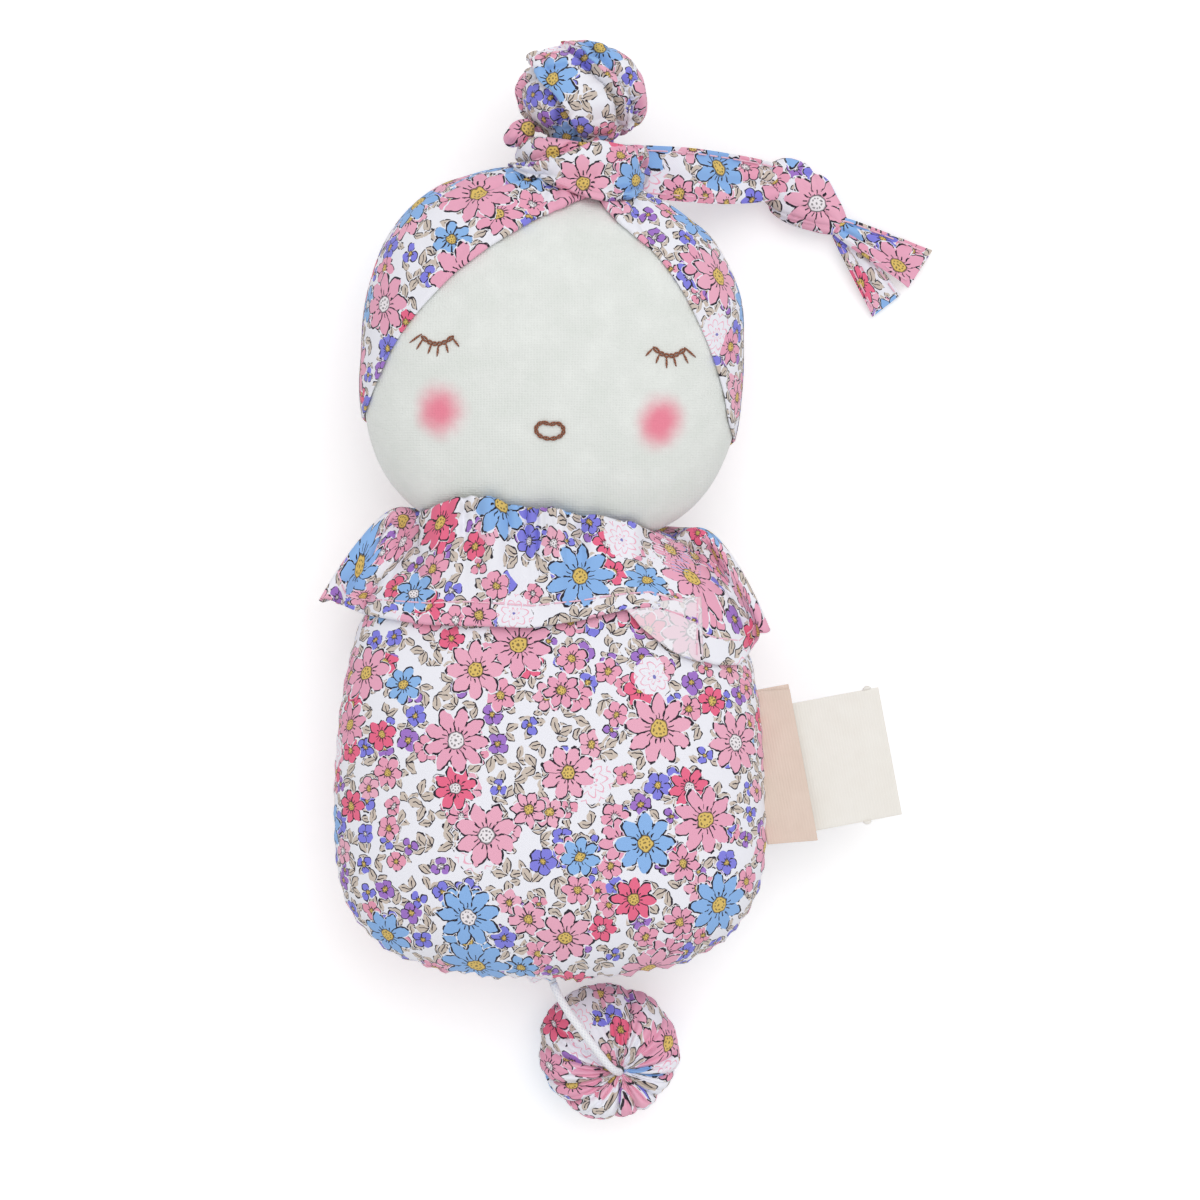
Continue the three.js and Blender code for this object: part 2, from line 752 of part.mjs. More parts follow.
function buildLabels() {
  const group = new THREE.Group();
  group.position.z = bodyLift;
  const short = seamLabel(shortLabelWidth, shortLabelReach, gap / 2);
  const long = seamLabel(longLabelWidth, longLabelReach, -gap / 2 - labelThickness);
  addPiece(group, 'seam_label_short', short, labelTape);
  addPiece(group, 'seam_label_long', long, labelTape);
  return group;
}

// Pom: a gathered round of cloth drawn up on the cord's end over a wad and a knot
function pomForm(grow, sides, rings, gathered) {
  const list = [];
  for (let ring = 0; ring <= rings; ring += 1) {
    const polar = (ring / rings) * Math.PI;
    const count = ring === 0 || ring === rings ? 1 : sides;
    const shift = Math.max(0, Math.cos(polar));
    const dimple = pomDimple * Math.exp(-((polar / pomDimpleSpread) ** 2));
    const height = (pomHalfHeight + grow) * Math.cos(polar) - dimple;
    const depth = gathered ? pomGatherDepth * Math.sin(polar / 2 + 0.5) : 0;
    list.push(Array.from({ length: count }, (_, index) => {
      const angle = (index / sides) * Math.PI * 2;
      const gather = 1 + depth * Math.cos(pomGathers * angle);
      const radius = (pomRadius + grow) * Math.sin(polar) * gather;
      return new THREE.Vector3(radius * Math.cos(angle) + gatherShift[0] * shift,
        radius * Math.sin(angle) + gatherShift[1] * shift, height);
    }));
  }
  return skin(list);
}

const pomLift = pomHalfHeight - restFlatDepth;
const dimpleHeight = pomHalfHeight - pomDimple;
const cordKnotHeight = dimpleHeight - cordKnotDrop;

function gatherBar(radius, low, high) {
  return bar('z', radius, low, high, [gatherShift[0], gatherShift[1], 0]);
}

function knotBall(radius) {
  return new THREE.SphereGeometry(radius, 12, 8).translate(...gatherShift, cordKnotHeight);
}

function pomKnot() {
  const run = gatherBar(cordRadius, cordKnotHeight, dimpleHeight - gap);
  return join(knotBall(cordKnotRadius), run);
}

function pomCover() {
  const hole = gatherBar(cordRadius + cordClearance, 0, pomHalfHeight);
  const shell = cut(pomForm(0, 2 * pomGathers, 10, true), pomForm(-pomWall, pomGathers, 8, false));
  return cut(shell, hole, slab(-farAway, -pomLift));
}

function pomStuffing() {
  const wad = pomForm(-pomWall - 2.5 * gap, 20, 8, false);
  const run = gatherBar(cordRadius + cordClearance, cordKnotHeight, pomHalfHeight);
  const pocket = join(knotBall(cordKnotRadius + gap), run);
  return cut(wad, pocket, slab(-farAway, -pomLift + pomWall + gap));
}

function cordTube(points, steps, sides) {
  const section = new THREE.Shape();
  section.absarc(0, 0, cordRadius, 0, Math.PI * 2);
  const path = new THREE.CatmullRomCurve3(points);
  return new THREE.ExtrudeGeometry(section, { steps, curveSegments: sides / 2, extrudePath: path });
}

function freeCord() {
  const start = exitPoint.clone().setZ(bodyLift);
  const outward = new THREE.Vector3().subVectors(exitPoint, tangentPoint).normalize();
  const first = start.clone().addScaledVector(outward, gap);
  const middle = cordRoute.map((point) => new THREE.Vector3(...point));
  const gather = new THREE.Vector3(pomSide, -pomDown, pomLift + dimpleHeight)
    .add(new THREE.Vector3(...gatherShift, 0));
  const above = gather.clone().setZ(gather.z + cordRise);
  return cordTube([first, ...middle, above, gather], 14, 8);
}

function buildPull() {
  const group = new THREE.Group();
  group.position.set(pomSide, -pomDown, pomLift);
  addPiece(group, 'pull_pom_cover', pomCover(), printCotton);
  addPiece(group, 'pull_pom_stuffing', pomStuffing(), wadding);
  addPiece(group, 'pull_cord_knot', pomKnot(), whiteCord);
  return group;
}

// Movement case: two moulded cups screwed together through the bedplate
const bossPlaces = bossAngles.map((angle) => [bossCircle * Math.cos(radians(angle)),
  bossCircle * Math.sin(radians(angle))]);

function caseCup(front) {
  const inner = caseRadius - caseWall;
  const floor = caseHalfHeight - caseWall;
  const profile = [[0, floor], [inner, floor], [inner, gap / 2], [caseRadius, gap / 2],
    [caseRadius, caseHalfHeight - caseEdge], [caseRadius - caseEdge, caseHalfHeight], [0, caseHalfHeight]];
  return turned(front ? profile : profile.map(([radius, height]) => [radius, -height]).reverse());
}

function caseHalf(front) {
  const floor = caseHalfHeight - caseWall / 2;
  const plateSide = front ? plateTop + gap : plateTop - plateThickness - gap;
  const span = front ? [plateSide, floor] : [-floor, plateSide];
  const bosses = bossPlaces.map(([x, y]) => bar('z', bossRadius, ...span, [x, y, 0]));
  const cup = join(caseCup(front), ...bosses);
  const openings = front ? soundCutters() : [reelRunCutter()];
  return cut(cup, ...screwCutters(), ...openings);
}

function soundCutters() {
  return Array.from({ length: soundHoles }, (_, index) => {
    const angle = (index / soundHoles) * Math.PI * 2;
    const centre = [soundHoleCircle * Math.cos(angle), soundHoleCircle * Math.sin(angle), 0];
    return bar('z', soundHoleRadius, caseHalfHeight - 2 * caseWall, caseHalfHeight + caseWall, centre);
  });
}

const screwLow = -caseHalfHeight + gap;

function screwCutters() {
  return bossPlaces.map(([x, y]) => {
    const shankEnd = screwLow + screwLength + gap;
    const headEnd = screwLow + screwHeadHeight + gap;
    const shank = bar('z', screwRadius + screwClearance, -farAway, shankEnd, [x, y, 0]);
    const head = bar('z', screwHeadRadius + screwClearance, -farAway, headEnd, [x, y, 0]);
    return join(shank, head);
  });
}

function reelRunCutter() {
  return cordChannel(cordRadius + cordClearance).translate(0, -caseUp, 0);
}

function caseScrew([x, y]) {
  const head = bar('z', screwHeadRadius, screwLow, screwLow + screwHeadHeight, [x, y, 0]);
  return join(head, bar('z', screwRadius, screwLow, screwLow + screwLength, [x, y, 0]));
}

// Bedplate: a cast disc with the comb's riser and the bearing posts
const pinTop = cylinderRadius + pinReach;
const combTip = pinTop + gap;
const combWidth = combTeeth * combPitch;
const combHigh = axisHeight + combThickness / 2;
const combLow = axisHeight - combThickness / 2;
const combRoot = combTip + combTongueLong;
const combBack = combRoot + combBase;
const cylinderEnd = cylinderStart + combWidth + gap;
const wheelLow = cylinderEnd + gap;
const wormWheelLow = wheelLow + trainWidth + 2 * gap;
const governorAcross = -(trainModule * (cylinderWheelTeeth + governorPinionTeeth) / 2 + meshSlack);
const wormWheelPitch = wormModule * wormWheelTeeth / 2;
const wormAcross = governorAcross - wormWheelPitch - wormPitchRadius - meshSlack;
const wormAlong = wormWheelLow + trainWidth / 2;
const rightPost = wormWheelLow + trainWidth + 2 * gap;
const leftPost = -crownOuter - 2 * gap - postWall;
const governorPost = wheelLow - gap - postWall;

function bearingPost(start, low, high) {
  return box([start, low, plateTop - joinDepth], [start + postWall, high, axisHeight + postRise]);
}

const combScrewPlaces = combScrewShares.map((share) => [cylinderStart + combWidth * share,
  combRoot + combBase / 2]);

function combScrewHole([x, y]) {
  const low = combHigh - combScrewDepth - gap;
  return bar('z', combScrewRadius + screwClearance, low, farAway, [x, y, 0]);
}

function bedplate() {
  const plate = disc(plateRadius, plateTop - plateThickness, plateTop, 40);
  const riserEnd = cylinderStart + combWidth;
  const riser = box([cylinderStart, combRoot, plateTop - joinDepth], [riserEnd, combBack, combLow - gap]);
  const governorHalf = arborRadius + runningClearance + gap;
  const bearings = [bearingPost(leftPost, -postHalfWidth, postHalfWidth),
    bearingPost(rightPost, governorAcross - governorHalf, postHalfWidth),
    bearingPost(governorPost, governorAcross - governorHalf, governorAcross + governorHalf)];
  const boss = screwRadius + screwClearance;
  const bossHoles = bossPlaces.map(([x, y]) => bar('z', boss, -farAway, farAway, [x, y, 0]));
  const crownHole = bar('z', crownOuter + gap, -farAway, plateTop + gap, [0, 0, 0], roundSides);
  const bearing = arborRadius + runningClearance;
  const arborHoles = [0, governorAcross].map((across) => bar('x', bearing, -farAway, farAway,
    [0, across, axisHeight]));
  const combHoles = combScrewPlaces.map(combScrewHole);
  return cut(join(plate, riser, ...bearings), ...bossHoles, crownHole, ...arborHoles, ...combHoles);
}

// Comb: one tongue for each note, long at the bass end and short at the treble end
function comb() {
  const left = cylinderStart;
  const rootOf = (tooth) => combTip + THREE.MathUtils.lerp(combTongueLong, combTongueShort,
    Math.min(tooth / (combTeeth - 1), 1));
  const shape = new THREE.Shape();
  shape.moveTo(left, combBack);
  shape.lineTo(left, rootOf(0));
  for (let tooth = 0; tooth < combTeeth; tooth += 1) {
    const start = left + tooth * combPitch + combSlot / 2;
    const end = left + (tooth + 1) * combPitch - combSlot / 2;
    shape.lineTo(start, rootOf(tooth));
    shape.lineTo(start, combTip);
    shape.lineTo(end, combTip);
    shape.lineTo(end, rootOf(tooth + 1));
  }
  shape.lineTo(left + combWidth, rootOf(combTeeth));
  shape.lineTo(left + combWidth, combBack);
  const plate = new THREE.ExtrudeGeometry(shape, { depth: combThickness, bevelEnabled: false });
  return cut(plate.translate(0, 0, combLow), ...combScrewPlaces.map(combScrewHole));
}

function combScrew([x, y]) {
  const low = combHigh + gap;
  const high = low + combScrewHeadHeight;
  const shank = bar('z', combScrewRadius, combHigh - combScrewDepth, high - joinDepth, [x, y, 0]);
  return join(bar('z', combScrewHeadRadius, low, high, [x, y, 0]), shank);
}

// A wheel cut from sheet: teeth with straight flanks about Z, on a round bore
function toothedWheel(teeth, rootRadius, tipRadius, width, bore, share) {
  const shape = new THREE.Shape();
  const step = (Math.PI * 2) / teeth;
  const foot = step * (share + toothFoot) / 2;
  const tip = step * (share - toothTip) / 2;
  for (let tooth = 0; tooth < teeth; tooth += 1) {
    const middle = tooth * step;
    const corners = [[rootRadius, -foot], [tipRadius, -tip], [tipRadius, tip], [rootRadius, foot]];
    corners.forEach(([radius, turn], corner) => {
      const point = [radius * Math.cos(middle + turn), radius * Math.sin(middle + turn)];
      if (tooth === 0 && corner === 0) shape.moveTo(...point);
      else shape.lineTo(...point);
    });
  }
  const hole = new THREE.Path();
  hole.absarc(0, 0, bore, 0, Math.PI * 2, true);
  shape.holes.push(hole);
  return new THREE.ExtrudeGeometry(shape, { depth: width, bevelEnabled: false, curveSegments: 6 });
}

// The same wheel stood on the X axis, its first tooth turned to the given angle
function wheelOnX(geometry, start, turn, across) {
  return geometry.rotateZ(turn).rotateY(Math.PI / 2).translate(start, across, axisHeight);
}

// Cylinder: a brass barrel with pins, its arbor, the pinion that the crown drives and its wheel
function pinCylinder() {
  const barrel = tube(arborRadius + gap, cylinderRadius, cylinderStart, cylinderEnd, pinStations);
  const pins = [];
  for (let track = 0; track < combTeeth; track += 1) {
    for (let pin = 0; pin < pinsInTrack; pin += 1) {
      const along = cylinderStart + combPitch * (track + 0.5);
      const station = track * stationsPerTrack + pin * stationsPerPin;
      const half = pinWidth / 2;
      const peg = box([cylinderRadius - pinReach, -half, along - half], [pinTop, half, along + half]);
      pins.push(peg.rotateZ(pinStart + station * Math.PI * 2 / pinStations));
    }
  }
  const pinned = join(barrel, ...pins);
  return pinned.rotateY(Math.PI / 2).translate(0, 0, axisHeight);
}

const arborStart = leftPost - arborStub;
const arborEnd = rightPost + postWall + arborStub;

// A wheel of the given count and tooth size, whose teeth mesh on its pitch circle
function trainWheel(teeth, toothModule, bore, share) {
  const pitch = toothModule * teeth / 2;
  const root = pitch - toothRootDepth * toothModule;
  return toothedWheel(teeth, root, pitch + toothModule, trainWidth, bore, share);
}

function cylinderPinion() {
  const bore = arborRadius + gap;
  const wheel = toothedWheel(pinionTeeth, pinionRoot, pinionOuter, pinionWidth, bore, slimToothShare);
  return wheelOnX(wheel, -(crownInner + crownOuter + pinionWidth) / 2, 0, 0);
}

function cylinderWheel() {
  const wheel = trainWheel(cylinderWheelTeeth, trainModule, arborRadius + gap, toothShare);
  return wheelOnX(wheel, wheelLow, Math.PI / 2, 0);
}

function buildCylinder(group) {
  const arbor = bar('x', arborRadius, arborStart, arborEnd, [0, 0, axisHeight]);
  addPiece(group, 'pin_cylinder', pinCylinder(), brass);
  addPiece(group, 'cylinder_arbor', arbor, steel);
  addPiece(group, 'cylinder_pinion', cylinderPinion(), brass);
  addPiece(group, 'cylinder_wheel', cylinderWheel(), brass);
}

// Reel: the cord's drum is also the barrel of the mainspring and turns on a fixed post
const coverHigh = reelLow + flangeWall;
const springLow = coverHigh + 3 * gap;
const drumInner = drumRadius - drumWall;
const reelBore = reelArborRadius + runningClearance;

function cordReel() {
  const top = reelHigh - flangeWall;
  const hub = reelBore + hubWall;
  const hubLow = springLow + hubShort;
  const profile = [[drumInner, reelLow], [flangeRadius, reelLow], [flangeRadius, coverHigh],
    [drumRadius, coverHigh], [drumRadius, top], [flangeRadius, top], [flangeRadius, reelHigh],
    [reelBore, reelHigh], [reelBore, hubLow], [hub, hubLow], [hub, top], [drumInner, top],
    [drumInner, reelLow]];
  return turned(profile);
}

function barrelCover() {
  return tube(reelBore, drumInner - gap, reelLow, coverHigh);
}

function mainspring() {
  const steps = Math.round(springTurns * 14);
  const first = reelBore + hubWall + 2 * gap;
  const spiral = (offset) => Array.from({ length: steps + 1 }, (_, step) => {
    const angle = (step / steps) * springTurns * Math.PI * 2;
    const radius = first + springPitch * angle / (Math.PI * 2) + offset;
    return new THREE.Vector2(radius * Math.cos(angle), radius * Math.sin(angle));
  });
  const shape = new THREE.Shape([...spiral(0), ...spiral(springWall).reverse()]);
  const coil = new THREE.ExtrudeGeometry(shape, { depth: springWidth, bevelEnabled: false });
  return coil.translate(0, 0, springLow);
}

function crownWheel() {
  const ring = tube(reelBore, crownOuter, reelHigh + gap, crownFace);
  const pitch = (Math.PI * 2) / crownTeeth;
  const half = crownToothShare * pitch * (crownInner + crownOuter) / 4;
  const high = crownToothHeight + joinDepth;
  const corners = [[-half, 0], [half, 0], [half / 2, high], [-half / 2, high]];
  const shape = new THREE.Shape(corners.map(([x, y]) => new THREE.Vector2(x, y)));
  const length = crownOuter - crownInner - joinDepth;
  const teeth = Array.from({ length: crownTeeth }, (_, tooth) => {
    const ridge = new THREE.ExtrudeGeometry(shape, { depth: length, bevelEnabled: false });
    ridge.rotateX(Math.PI / 2).rotateZ(Math.PI / 2).translate(crownInner, 0, crownFace - joinDepth);
    return ridge.rotateZ(Math.PI + (tooth + 0.5) * pitch);
  });
  return join(ring, ...teeth);
}

function reelArbor() {
  return disc(reelArborRadius, -caseHalfHeight + caseWall + gap, plateTop - plateThickness, 20);
}

// The cord on the reel and its run to the seam, one unbroken length
function windingPoints() {
  const steps = Math.round(windingTurns * windingSides);
  const points = [];
  for (let step = 0; step <= steps; step += 1) {
    const back = ((steps - step) / windingSides) * Math.PI * 2;
    const rise = windingLow + windingPitch * back / (Math.PI * 2);
    points.push(new THREE.Vector3(windingRadius * Math.cos(leaving - back),
      caseUp + windingRadius * Math.sin(leaving - back), rise));
  }
  return points;
}

function leastWindingGap(points) {
  let least = Infinity;
  points.forEach((point, index) => {
    points.slice(index + windingSides / 2).forEach((other) => {
      least = Math.min(least, point.distanceTo(other) - 2 * cordRadius);
    });
  });
  return least;
}

function woundCord() {
  const winding = windingPoints();
  console.log(`least gap of the winding to itself ${leastWindingGap(winding).toFixed(2)} mm`);
  const run = [0.2, 0.4, 0.6, 0.8, 1].map((share) => tangentPoint.clone().lerp(exitPoint, share));
  return cordTube([...winding, ...run], winding.length + run.length, 6);
}

// Governor: a pinion and worm wheel on one arbor, and the worm that carries the air fan
function governorArbor() {
  const rod = bar('x', arborRadius, governorPost - arborStub, arborEnd, [0, governorAcross, axisHeight]);
  const pinion = trainWheel(governorPinionTeeth, trainModule, arborRadius / 2, toothShare);
  const half = Math.PI / governorPinionTeeth;
  return join(rod, wheelOnX(pinion, wheelLow, Math.PI / 2 + half, governorAcross));
}

function wormWheel() {
  const wheel = trainWheel(wormWheelTeeth, wormModule, arborRadius + gap, slimToothShare);
  return wheelOnX(wheel, wormWheelLow, Math.PI / 2, governorAcross);
}

const wormPitch = Math.PI * wormModule;
const wormRoot = wormPitchRadius - toothRootDepth * wormModule;
const wormTip = wormPitchRadius + wormModule;
const wormLow = axisHeight - wormTurns * wormPitch / 2;
const wormHigh = axisHeight + wormTurns * wormPitch / 2;
const fanLow = axisHeight + wormWheelPitch + wormModule + gap;
const bracketTop = caseHalfHeight - caseWall - caseHeadroom;
const bracketArm = bracketTop - bracketWall;
const fanHigh = bracketArm - gap;
const spindleTop = bracketArm + bracketWall / 2;

function governorWorm() {
  const perTurn = 8;
  const steps = wormTurns * perTurn;
  const inside = wormRoot - joinDepth;
  const section = [[inside, -threadFoot], [wormTip, -threadTip], [wormTip, threadTip], [inside, threadFoot]];
  const rings = Array.from({ length: steps + 1 }, (_, step) => {
    const angle = (step / perTurn - 0.25) * Math.PI * 2;
    const rise = axisHeight + wormPitch * (step - steps / 2) / perTurn;
    return section.map(([radius, height]) => new THREE.Vector3(radius * Math.cos(angle),
      radius * Math.sin(angle), rise + height * wormPitch));
  });
  const thread = skin(rings);
  const core = disc(wormRoot, wormLow - gap, wormHigh + gap, holeSides);
  const spindle = disc(spindleRadius, plateTop + 2 * gap, spindleTop, holeSides);
  return join(core, spindle, thread).translate(wormAlong, wormAcross, 0);
}

function governorFan() {
  const blade = box([-fanRadius, -fanWall / 2, fanLow], [fanRadius, fanWall / 2, fanHigh]);
  const hub = disc(fanHubRadius, fanLow, fanHigh, holeSides);
  const bore = disc(spindleRadius + gap / 2, fanLow - 1, fanHigh + 1, holeSides);
  return cut(join(hub, blade), bore).translate(wormAlong, wormAcross, 0);
}

function governorBracket() {
  const low = plateTop + gap;
  const end = wormAlong + bracketHalfWidth;
  const postEnd = wormAlong - fanRadius - 2 * gap;
  const start = postEnd - bracketPost;
  const near = wormAcross - bracketHalfWidth;
  const far = wormAcross + bracketHalfWidth;
  const foot = box([start, near, low], [end, far, low + bracketWall]);
  const post = box([start, near, low], [postEnd, far, bracketTop]);
  const top = box([start, near, bracketArm], [end, far, bracketTop]);
  const pivots = bar('z', spindleRadius + runningClearance, -farAway, farAway, [wormAlong, wormAcross, 0]);
  return cut(join(foot, post, top), pivots);
}

function buildMovement() {
  const group = new THREE.Group();
  group.position.set(0, caseUp, bodyLift);
  addPiece(group, 'case_back', caseHalf(false), whitePlastic);
  addPiece(group, 'case_front', caseHalf(true), whitePlastic);
  bossPlaces.forEach((place, index) => {
    addPiece(group, `case_screw_${index + 1}`, caseScrew(place), steel);
  });
  addPiece(group, 'bedplate', bedplate(), zinc);
  addPiece(group, 'comb', comb(), steel);
  combScrewPlaces.forEach((place, index) => {
    addPiece(group, `comb_screw_${index + 1}`, combScrew(place), steel);
  });
  addPiece(group, 'reel_arbor', reelArbor(), steel);
  addPiece(group, 'cord_reel', cordReel(), whitePlastic);
  addPiece(group, 'barrel_cover', barrelCover(), whitePlastic);
  addPiece(group, 'mainspring', mainspring(), steel);
  addPiece(group, 'crown_wheel', crownWheel(), brass);
  buildCylinder(group);
  addPiece(group, 'governor_arbor', governorArbor(), steel);
  addPiece(group, 'worm_wheel', wormWheel(), brass);
  addPiece(group, 'governor_worm', governorWorm(), steel);
  addPiece(group, 'governor_fan', governorFan(), whitePlastic);
  addPiece(group, 'governor_bracket', governorBracket(), brass);
  return group;
}

function buildCords() {
  const group = new THREE.Group();
  addPiece(group, 'pull_cord', freeCord(), whiteCord);
  const held = new THREE.Group();
  held.position.z = bodyLift;
  addPiece(held, 'wound_cord', woundCord(), whiteCord);
  group.add(held);
  return group;
}

doll.add(buildBody(), buildHead(), buildTie(), buildCollar(), buildLabels(), buildPull(), buildMovement(),
  buildCords());

export default doll;
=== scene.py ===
# %% [markdown]
# # A musical doll
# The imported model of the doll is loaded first. It fixes every size and place, so each piece
# below is made around it and nothing of it is moved. Metres throughout; `mm` keeps sizes readable.

# %% Frame
import json
from math import acos, asin, atan, atan2, copysign, cos, degrees, exp, hypot
from math import pi, radians, remainder, sin, sqrt, tau

import bpy
import numpy as np
from mathutils import Matrix, Vector, noise


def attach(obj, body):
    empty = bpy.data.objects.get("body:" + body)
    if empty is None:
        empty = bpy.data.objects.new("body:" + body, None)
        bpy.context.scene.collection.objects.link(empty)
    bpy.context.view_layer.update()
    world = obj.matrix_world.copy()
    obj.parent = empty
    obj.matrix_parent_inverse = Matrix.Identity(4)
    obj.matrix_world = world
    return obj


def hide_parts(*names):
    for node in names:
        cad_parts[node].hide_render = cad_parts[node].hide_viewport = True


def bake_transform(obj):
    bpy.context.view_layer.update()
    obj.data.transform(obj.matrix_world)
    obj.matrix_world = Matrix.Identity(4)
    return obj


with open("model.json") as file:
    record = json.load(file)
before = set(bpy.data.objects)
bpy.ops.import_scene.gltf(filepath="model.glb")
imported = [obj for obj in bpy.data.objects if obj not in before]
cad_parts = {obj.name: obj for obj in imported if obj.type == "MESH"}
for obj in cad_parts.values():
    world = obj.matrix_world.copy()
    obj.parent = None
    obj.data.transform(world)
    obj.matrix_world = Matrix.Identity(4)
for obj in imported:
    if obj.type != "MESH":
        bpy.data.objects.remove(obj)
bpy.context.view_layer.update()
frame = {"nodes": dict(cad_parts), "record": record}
nodes = frame["nodes"]
mm = 0.001

# %% [markdown]
# The doll lies on its back on a white table and is seen from straight above. The photograph's
# frame spans 300 mm at the height of the side seams. A long distance keeps the round body from
# looking swollen, as a product photographer's lens does.

# %% Camera
seam_height = 27.5 * mm
frame_span = 300 * mm
camera_distance = 1200 * mm
frame_middle = (12.5 * mm, 56 * mm)
bpy.ops.object.select_all(action="DESELECT")
bpy.ops.object.camera_add(location=(*frame_middle, seam_height + camera_distance), rotation=(0, 0, 0))
camera = bpy.context.object
camera.data.angle = 2 * atan(frame_span / 2 / camera_distance)
bpy.context.scene.camera = camera
bpy.context.scene.view_settings.view_transform = "Standard"
print("view angle", round(degrees(camera.data.angle), 2))

# %% [markdown]
# Every material is built from nodes. One function adds a node, sets it and links it: a number,
# a colour, a socket or another node may be given for each input. Formulas are long chains of Math
# nodes, so an input may also be a short sum in brackets, such as ("ADD", width, 0.5).

# %% A node, a colour and a material
def add(tree, kind, *inputs, named=(), stops=(), **settings):
    """Adds a node: "Math SINE" is the Math node set to SINE, and stops are the colours of a ramp."""
    kind, _, operation = kind.partition(" ")
    node = tree.nodes.new(kind if kind.startswith("NodeGroup") else "ShaderNode" + kind)
    if operation:
        node.operation = operation
    for key, value in settings.items():
        setattr(node, key, value)
    for place, code in stops[1:-1]:
        node.color_ramp.elements.new(place)
    for index, (place, code) in enumerate(stops):
        element = node.color_ramp.elements[index]
        element.position, element.color = place, linear(code)
    for key, value in [*enumerate(inputs), *dict(named).items()]:
        if isinstance(value, tuple) and isinstance(value[0], str):
            value = add(tree, "Math " + value[0], *value[1:])
        if isinstance(value, bpy.types.Node):
            value = value.outputs[0]
        if isinstance(value, bpy.types.NodeSocket):
            tree.links.new(value, node.inputs[key])
        elif value is not None:
            node.inputs[key].default_value = value
    return node


def linear(code):
    """A colour as a screen shows it, written in hex, as the light it stands for."""
    channels = [int(code[i:i + 2], 16) / 255 for i in (0, 2, 4)]
    return (*[c / 12.92 if c <= 0.04045 else ((c + 0.055) / 1.055) ** 2.4 for c in channels], 1.0)


def new_material(name):
    material = bpy.data.materials.new(name)
    material.use_nodes = True
    material.node_tree.nodes.clear()
    return material, material.node_tree


# %% [markdown]
# The white table and the white around it are what the camera and reflections see. The light
# itself stays plain: a soft lamp from above and the pale room. The table keeps the doll's shadow.

# %% Table, room and lamps
def seen_directly(tree):
    """1 where the camera looks, also in a mirror or through glass, and 0 for light on its way round."""
    rays = add(tree, "LightPath").outputs
    seen = add(tree, "Math MAXIMUM", rays["Is Camera Ray"], rays["Is Glossy Ray"])
    return add(tree, "Math MAXIMUM", seen, rays["Is Transmission Ray"])


table_lift = 0.35
table_paint, tree = new_material("matt white table laminate")
lift = add(tree, "Math MULTIPLY", seen_directly(tree), table_lift)
matt = add(tree, "BsdfDiffuse", linear("ededed"))
glow = add(tree, "Emission", (1, 1, 1, 1), lift)
add(tree, "OutputMaterial", add(tree, "AddShader", matt, glow))

bpy.ops.object.select_all(action="DESELECT")
bpy.ops.mesh.primitive_plane_add(size=6, location=(0, 0, 0))
table = bpy.context.object
table.name = "table"
table.data.materials.append(table_paint)

room_light = 0.62
world = bpy.data.worlds.new("pale room")
bpy.context.scene.world = world
world.use_nodes = True
tree = world.node_tree
tree.nodes.clear()
strength = add(tree, "Math MULTIPLY_ADD", seen_directly(tree), 1 - room_light, room_light)
add(tree, "OutputWorld", add(tree, "Background", (1, 1, 1, 1), strength))

for name, turn, power_of_lamp, softness in (("key lamp", (-24, 14, 0), 0.95, 50),
                                            ("fill lamp", (30, -20, 0), 0.25, 90)):
    bpy.ops.object.light_add(type="SUN", rotation=[radians(angle) for angle in turn])
    lamp = bpy.context.object
    lamp.name = name
    lamp.data.energy = power_of_lamp
    lamp.data.angle = radians(softness)

# %% [markdown]
# Threads, cords and stitches are all tubes along a line, so one helper makes them. A frame is
# carried along the line without twisting, and the map it writes runs round and along in metres,
# which lets a twist or a braid follow the thread.

# %% A tube along a line
def smooth_line(points, steps):
    """A smooth line through the points, with that many steps between each two of them."""
    line = []
    for index in range(len(points) - 1):
        before = points[max(index - 1, 0)]
        first, second = points[index], points[index + 1]
        after = points[min(index + 2, len(points) - 1)]
        for step in range(steps):
            t = step / steps
            line.append(0.5 * (2 * first + (second - before) * t
                        + (2 * before - 5 * first + 4 * second - after) * t ** 2
                        + (3 * first - before - 3 * second + after) * t ** 3))
    return [*line, points[-1]]


def cloth_map(mesh, place_of):
    """Writes the map in metres: place_of(number of the point, face) for each corner of each face."""
    while mesh.uv_layers:
        mesh.uv_layers.remove(mesh.uv_layers[0])
    layer = mesh.uv_layers.new(name="cloth")
    for polygon in mesh.polygons:
        for loop in polygon.loop_indices:
            layer.data[loop].uv = place_of(mesh.loops[loop].vertex_index, polygon)


def new_piece(name, vertices, faces):
    mesh = bpy.data.meshes.new(name)
    mesh.from_pydata(vertices, [], faces)
    obj = bpy.data.objects.new(name, mesh)
    bpy.context.scene.collection.objects.link(obj)
    return obj


